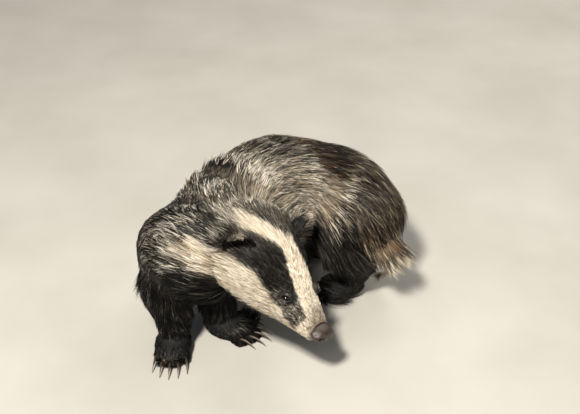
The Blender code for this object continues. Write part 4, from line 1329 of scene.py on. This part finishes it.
class BadgerSizes(bpy.types.PropertyGroup):
    """Sizes of the badger's pieces."""
    eye_radius: bpy.props.FloatProperty(
        name="Eye radius", description="Radius of an eyeball", default=0.0055,
        min=0.002, unit="LENGTH")
    body_voxel: bpy.props.FloatProperty(
        name="Body detail", description="Grid size of the body's surface", default=0.0028,
        min=0.0015, unit="LENGTH")
    head_voxel: bpy.props.FloatProperty(
        name="Head detail", description="Grid size of the head's surface", default=0.0013,
        min=0.0008, unit="LENGTH")
    back_strands: bpy.props.IntProperty(
        name="Back strands", description="Strands on the torso and neck", default=104000, min=100)
    face_strands: bpy.props.IntProperty(
        name="Face strands", description="Strands on the head and ears", default=84000, min=100)
    leg_strands: bpy.props.IntProperty(
        name="Leg strands", description="Strands on the legs and paws", default=38000, min=100)
    tail_strands: bpy.props.IntProperty(
        name="Tail strands", description="Strands on the tail", default=12000, min=100)
    back_width: bpy.props.FloatVectorProperty(
        name="Back strand width", description="Least and most width of a strand on the back",
        default=(0.0004, 0.0009), size=2, unit="LENGTH")
    face_width: bpy.props.FloatVectorProperty(
        name="Face strand width", description="Least and most width of a strand on the face",
        default=(0.00032, 0.00060), size=2, unit="LENGTH")
    leg_width: bpy.props.FloatVectorProperty(
        name="Leg strand width", description="Least and most width of a strand on the legs",
        default=(0.0004, 0.0008), size=2, unit="LENGTH")


class BadgerColours(bpy.types.PropertyGroup):
    """Colour of the lights."""
    light: bpy.props.FloatVectorProperty(
        name="Light", description="Colour of the main light", default=linear("#FFF8EC")[:3],
        size=3, subtype="COLOR")


class BADGER_OT_skin(bpy.types.Operator):
    """Make the skin with its lids, ears and paws"""
    bl_idname = "badger.skin"
    bl_label = "Skin"

    def execute(self, context):
        skin = build_skin(context.scene.badger_sizes)
        skin.data.materials.append(skin_material())
        coat_material()
        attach(skin, "root")
        flesh = ["head", "ear_left", "ear_right", "neck", "torso_front", "torso_middle",
                 "torso_rear", "tail", *LEGS, *PAWS]
        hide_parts(*flesh)
        return {"FINISHED"}


class BADGER_OT_eyes(bpy.types.Operator):
    """Make the two eyeballs and the rims of their lids"""
    bl_idname = "badger.eyes"
    bl_label = "Eyes"

    def execute(self, context):
        radius = context.scene.badger_sizes.eye_radius
        for side, name in ((1, "eye_left"), (-1, "eye_right")):
            centre, _ = head_place(EYE_ALONG, EYE_TURN, side, -EYE_SUNK)
            ball = mesh_object(name + "_ball", *ball_grid(
                from_head(centre), np.eye(3), [radius] * 3, 28, 40))
            ball.data.materials.append(bpy.data.materials.get("wet_eye") or eye_material())
            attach(ball, "root")
            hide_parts(name)
            centre, axes = lid_axes(side)
            turn = np.arange(65) * math.tau / 64
            wide = 0.90 * np.cos(turn)
            high = 0.56 * np.sin(turn) * np.abs(np.sin(turn)) ** 0.35
            deep = np.sqrt(np.maximum(1 - wide ** 2 - high ** 2, 0.02))
            ring = np.stack([wide, high, deep], 1) @ axes.T * (radius + 0.0010) + centre
            lids = mesh_object(name.replace("eye", "lids"), *path_tube(
                from_head(ring), np.full(65, 0.00085), 10))
            lids.data.materials.append(bpy.data.materials.get("lid_rim") or lid_material())
            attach(lids, "root")
        return {"FINISHED"}


class BADGER_OT_nose(bpy.types.Operator):
    """Make the nose pad with its nostrils"""
    bl_idname = "badger.nose"
    bl_label = "Nose"

    def execute(self, context):
        points, faces = ball_grid(np.zeros(3), np.eye(3)[:, [1, 2, 0]], (1, 1, 1), 60, 80)
        moved = np.sign(points) * np.abs(points) ** (0.8, 0.85, 0.9)
        moved *= NOSE_SIZES
        moved[:, 1] *= 1 - 0.22 * np.maximum(points[:, 2], 0)
        # Share of painted shade in the nostrils' hollows, on each point
        nostril_shade = np.zeros(len(points))
        for side in (1, -1):
            hole = (points - unit(np.array((0.80, side * 0.52, 0.02)))) / (1, 0.24, 0.30)
            gap = np.linalg.norm(hole * (0.6, 1, 1), axis=1)
            moved[:, 0] -= 0.0055 * smooth(gap, 1.15, 0.35)
            nostril_shade = np.maximum(nostril_shade, smooth(gap, 1.1, 0.6))
            slit = np.abs(points[:, 2] + 0.12 + 0.25 * (points[:, 1] * side - 0.7))
            out = smooth(points[:, 1] * side, 0.45, 0.65) * smooth(points[:, 0], 0.1, 0.35)
            moved[:, 1] -= side * 0.0018 * smooth(slit, 0.22, 0.04) * out
        moved[:, 0] -= 0.0009 * smooth(np.abs(points[:, 1]), 0.10, 0.0) * (points[:, 2] < 0.3)
        nose = mesh_object("nose_pad", from_head(moved + NOSE_AT), faces)
        furred = smooth(points[:, 2] - 0.5 * points[:, 0], 0.05, 0.55)
        point_values(nose.data, {"nostril_shade": nostril_shade, "furred": furred})
        nose.data.materials.append(nose_material())
        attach(nose, "root")
        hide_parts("nose")
        return {"FINISHED"}


class BADGER_OT_claws(bpy.types.Operator):
    """Make the twenty claws"""
    bl_idname = "badger.claws"
    bl_label = "Claws"

    def execute(self, context):
        part = np.linspace(0, 1, 9)
        radii = 0.0018 * (1 - 0.85 * part ** 1.4)
        parts = [path_tube(path, radii, 10, 1.25) for path in claw_paths()]
        claws = mesh_object("claws", *joined(parts))
        tone = np.concatenate([np.repeat(part, 10), [0.0, 1.0]])
        point_values(claws.data, {"along": np.tile(tone, len(parts))})
        claws.data.materials.append(claw_material())
        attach(claws, "root")
        return {"FINISHED"}


class BADGER_OT_body_coat(bpy.types.Operator):
    """Grow the long coat of the back, flanks, neck and tail"""
    bl_idname = "badger.body_coat"
    bl_label = "Body coat"

    def execute(self, context):
        sizes = context.scene.badger_sizes
        fields = SKIN["fields"]
        cover = 1 - fields["bare"]
        torso = fields["torso"] * cover
        back = fields["back"]
        names = ("coat_chest", "coat_shoulders", "coat_back", "coat_loin", "coat_flanks",
                 "coat_rump")
        order = np.argsort(back)
        total = np.cumsum(torso[order])
        marks = np.interp(np.linspace(0, total[-1], len(names) + 1), total, back[order])
        marks[0], marks[-1] = -1, 2
        for k, name in enumerate(names):
            area = torso * ((back >= marks[k]) & (back < marks[k + 1]))
            amount = int(sizes.back_strands * area.sum() / torso.sum())
            coat_piece(name, area, min(amount, 28000), sizes.back_width, 4,
                       20 + k, 0.008)
        coat_piece("coat_tail", fields["tail"] * cover, sizes.tail_strands,
                   sizes.back_width, 4, 31, 0.008)
        return {"FINISHED"}


class BADGER_OT_short_coat(bpy.types.Operator):
    """Grow the short coat of the head, ears, legs and paws"""
    bl_idname = "badger.short_coat"
    bl_label = "Short coat"

    def execute(self, context):
        sizes = context.scene.badger_sizes
        fields = SKIN["fields"]
        cover = 1 - fields["bare"]
        head = fields["head"] * cover * (1 - fields["ear"])
        side = to_head(SKIN["points"])[:, 1] > 0
        dense = head / np.maximum(fields["length"], 0.004) * 0.006
        leg = fields["leg"] * cover * (1 - 0.4 * fields["paw"])
        fore = leg * fields["fore"]
        face, ears, legs = [int(count) for count in (
            sizes.face_strands * 0.46, sizes.face_strands * 0.08, sizes.leg_strands // 2)]
        for name, slot, area, amount, seed in (
                ("coat_face_left", "face_fur", dense * side, face, 41),
                ("coat_face_right", "face_fur", dense * ~side, face, 42),
                ("coat_ears", "black_fur", fields["ear"], ears, 44)):
            coat_piece(name, area, amount, sizes.face_width, 3, seed, 0.003)
        for name, area, seed in (("coat_forelegs", fore, 45), ("coat_hindlegs", leg - fore, 46)):
            coat_piece(name, area, legs, sizes.leg_width, 3, seed, 0.006)
        return {"FINISHED"}


class BADGER_OT_stage(bpy.types.Operator):
    """Set the pale floor, soft studio lights and the camera"""
    bl_idname = "badger.stage"
    bl_label = "Stage"

    def execute(self, context):
        points = np.array([(x, y, 0.0) for y in (-4, 4) for x in (-4, 4)])
        floor = mesh_object("studio_floor", points, np.array([(0, 1, 3, 2)]), False)
        floor.data.materials.append(studio_floor_material())
        world = bpy.data.worlds.new("studio_air")
        world.use_nodes = True
        air = world.node_tree.nodes["Background"]
        air.inputs["Color"].default_value = linear("#DDE3EA")
        air.inputs["Strength"].default_value = 0.25
        context.scene.world = world
        colour = context.scene.badger_colours.light
        for name, place, size, power in LAMPS:
            data = bpy.data.lights.new(name, "AREA")
            data.size = size
            data.energy = power
            data.color = colour
            lamp = linked(name, data)
            lamp.location = place
            aim = LAMP_AIM - place
            flat = math.hypot(aim[0], aim[1])
            lamp.rotation_euler = (math.atan2(flat, -aim[2]), 0, math.atan2(-aim[0], aim[1]))
        data = bpy.data.cameras.new("photo_camera")
        data.sensor_width = 36.0
        data.lens = CAMERA_LENS
        camera = linked("photo_camera", data)
        camera.location = CAMERA_AT
        camera.rotation_euler = (math.radians(90 - CAMERA_TILT), 0, 0)
        context.scene.camera = camera
        context.scene.view_settings.view_transform = "Standard"
        return {"FINISHED"}


class BADGER_PT_panel(bpy.types.Panel):
    """Buttons for the badger's pieces"""
    bl_label = "Badger"
    bl_idname = "BADGER_PT_panel"
    bl_space_type = "VIEW_3D"
    bl_region_type = "UI"
    bl_category = "Badger"

    def draw(self, context):
        for operator in OPERATORS:
            self.layout.operator(operator.bl_idname)


OPERATORS = (BADGER_OT_skin, BADGER_OT_eyes, BADGER_OT_nose, BADGER_OT_claws,
             BADGER_OT_body_coat, BADGER_OT_short_coat, BADGER_OT_stage)
CLASSES = (BadgerSizes, BadgerColours, *OPERATORS, BADGER_PT_panel)


def register():
    """Register the classes and hang the settings on the scene."""
    for item in CLASSES:
        bpy.utils.register_class(item)
    bpy.types.Scene.badger_sizes = bpy.props.PointerProperty(type=BadgerSizes)
    bpy.types.Scene.badger_colours = bpy.props.PointerProperty(type=BadgerColours)


def unregister():
    """Take the settings and the classes away."""
    del bpy.types.Scene.badger_colours
    del bpy.types.Scene.badger_sizes
    for item in reversed(CLASSES):
        bpy.utils.unregister_class(item)


def main():
    """Build every piece in order."""
    register()
    bpy.ops.badger.skin()
    bpy.ops.badger.eyes()
    bpy.ops.badger.nose()
    bpy.ops.badger.claws()
    bpy.ops.badger.body_coat()
    bpy.ops.badger.short_coat()
    bpy.ops.badger.stage()


if __name__ == "__main__":
    main()
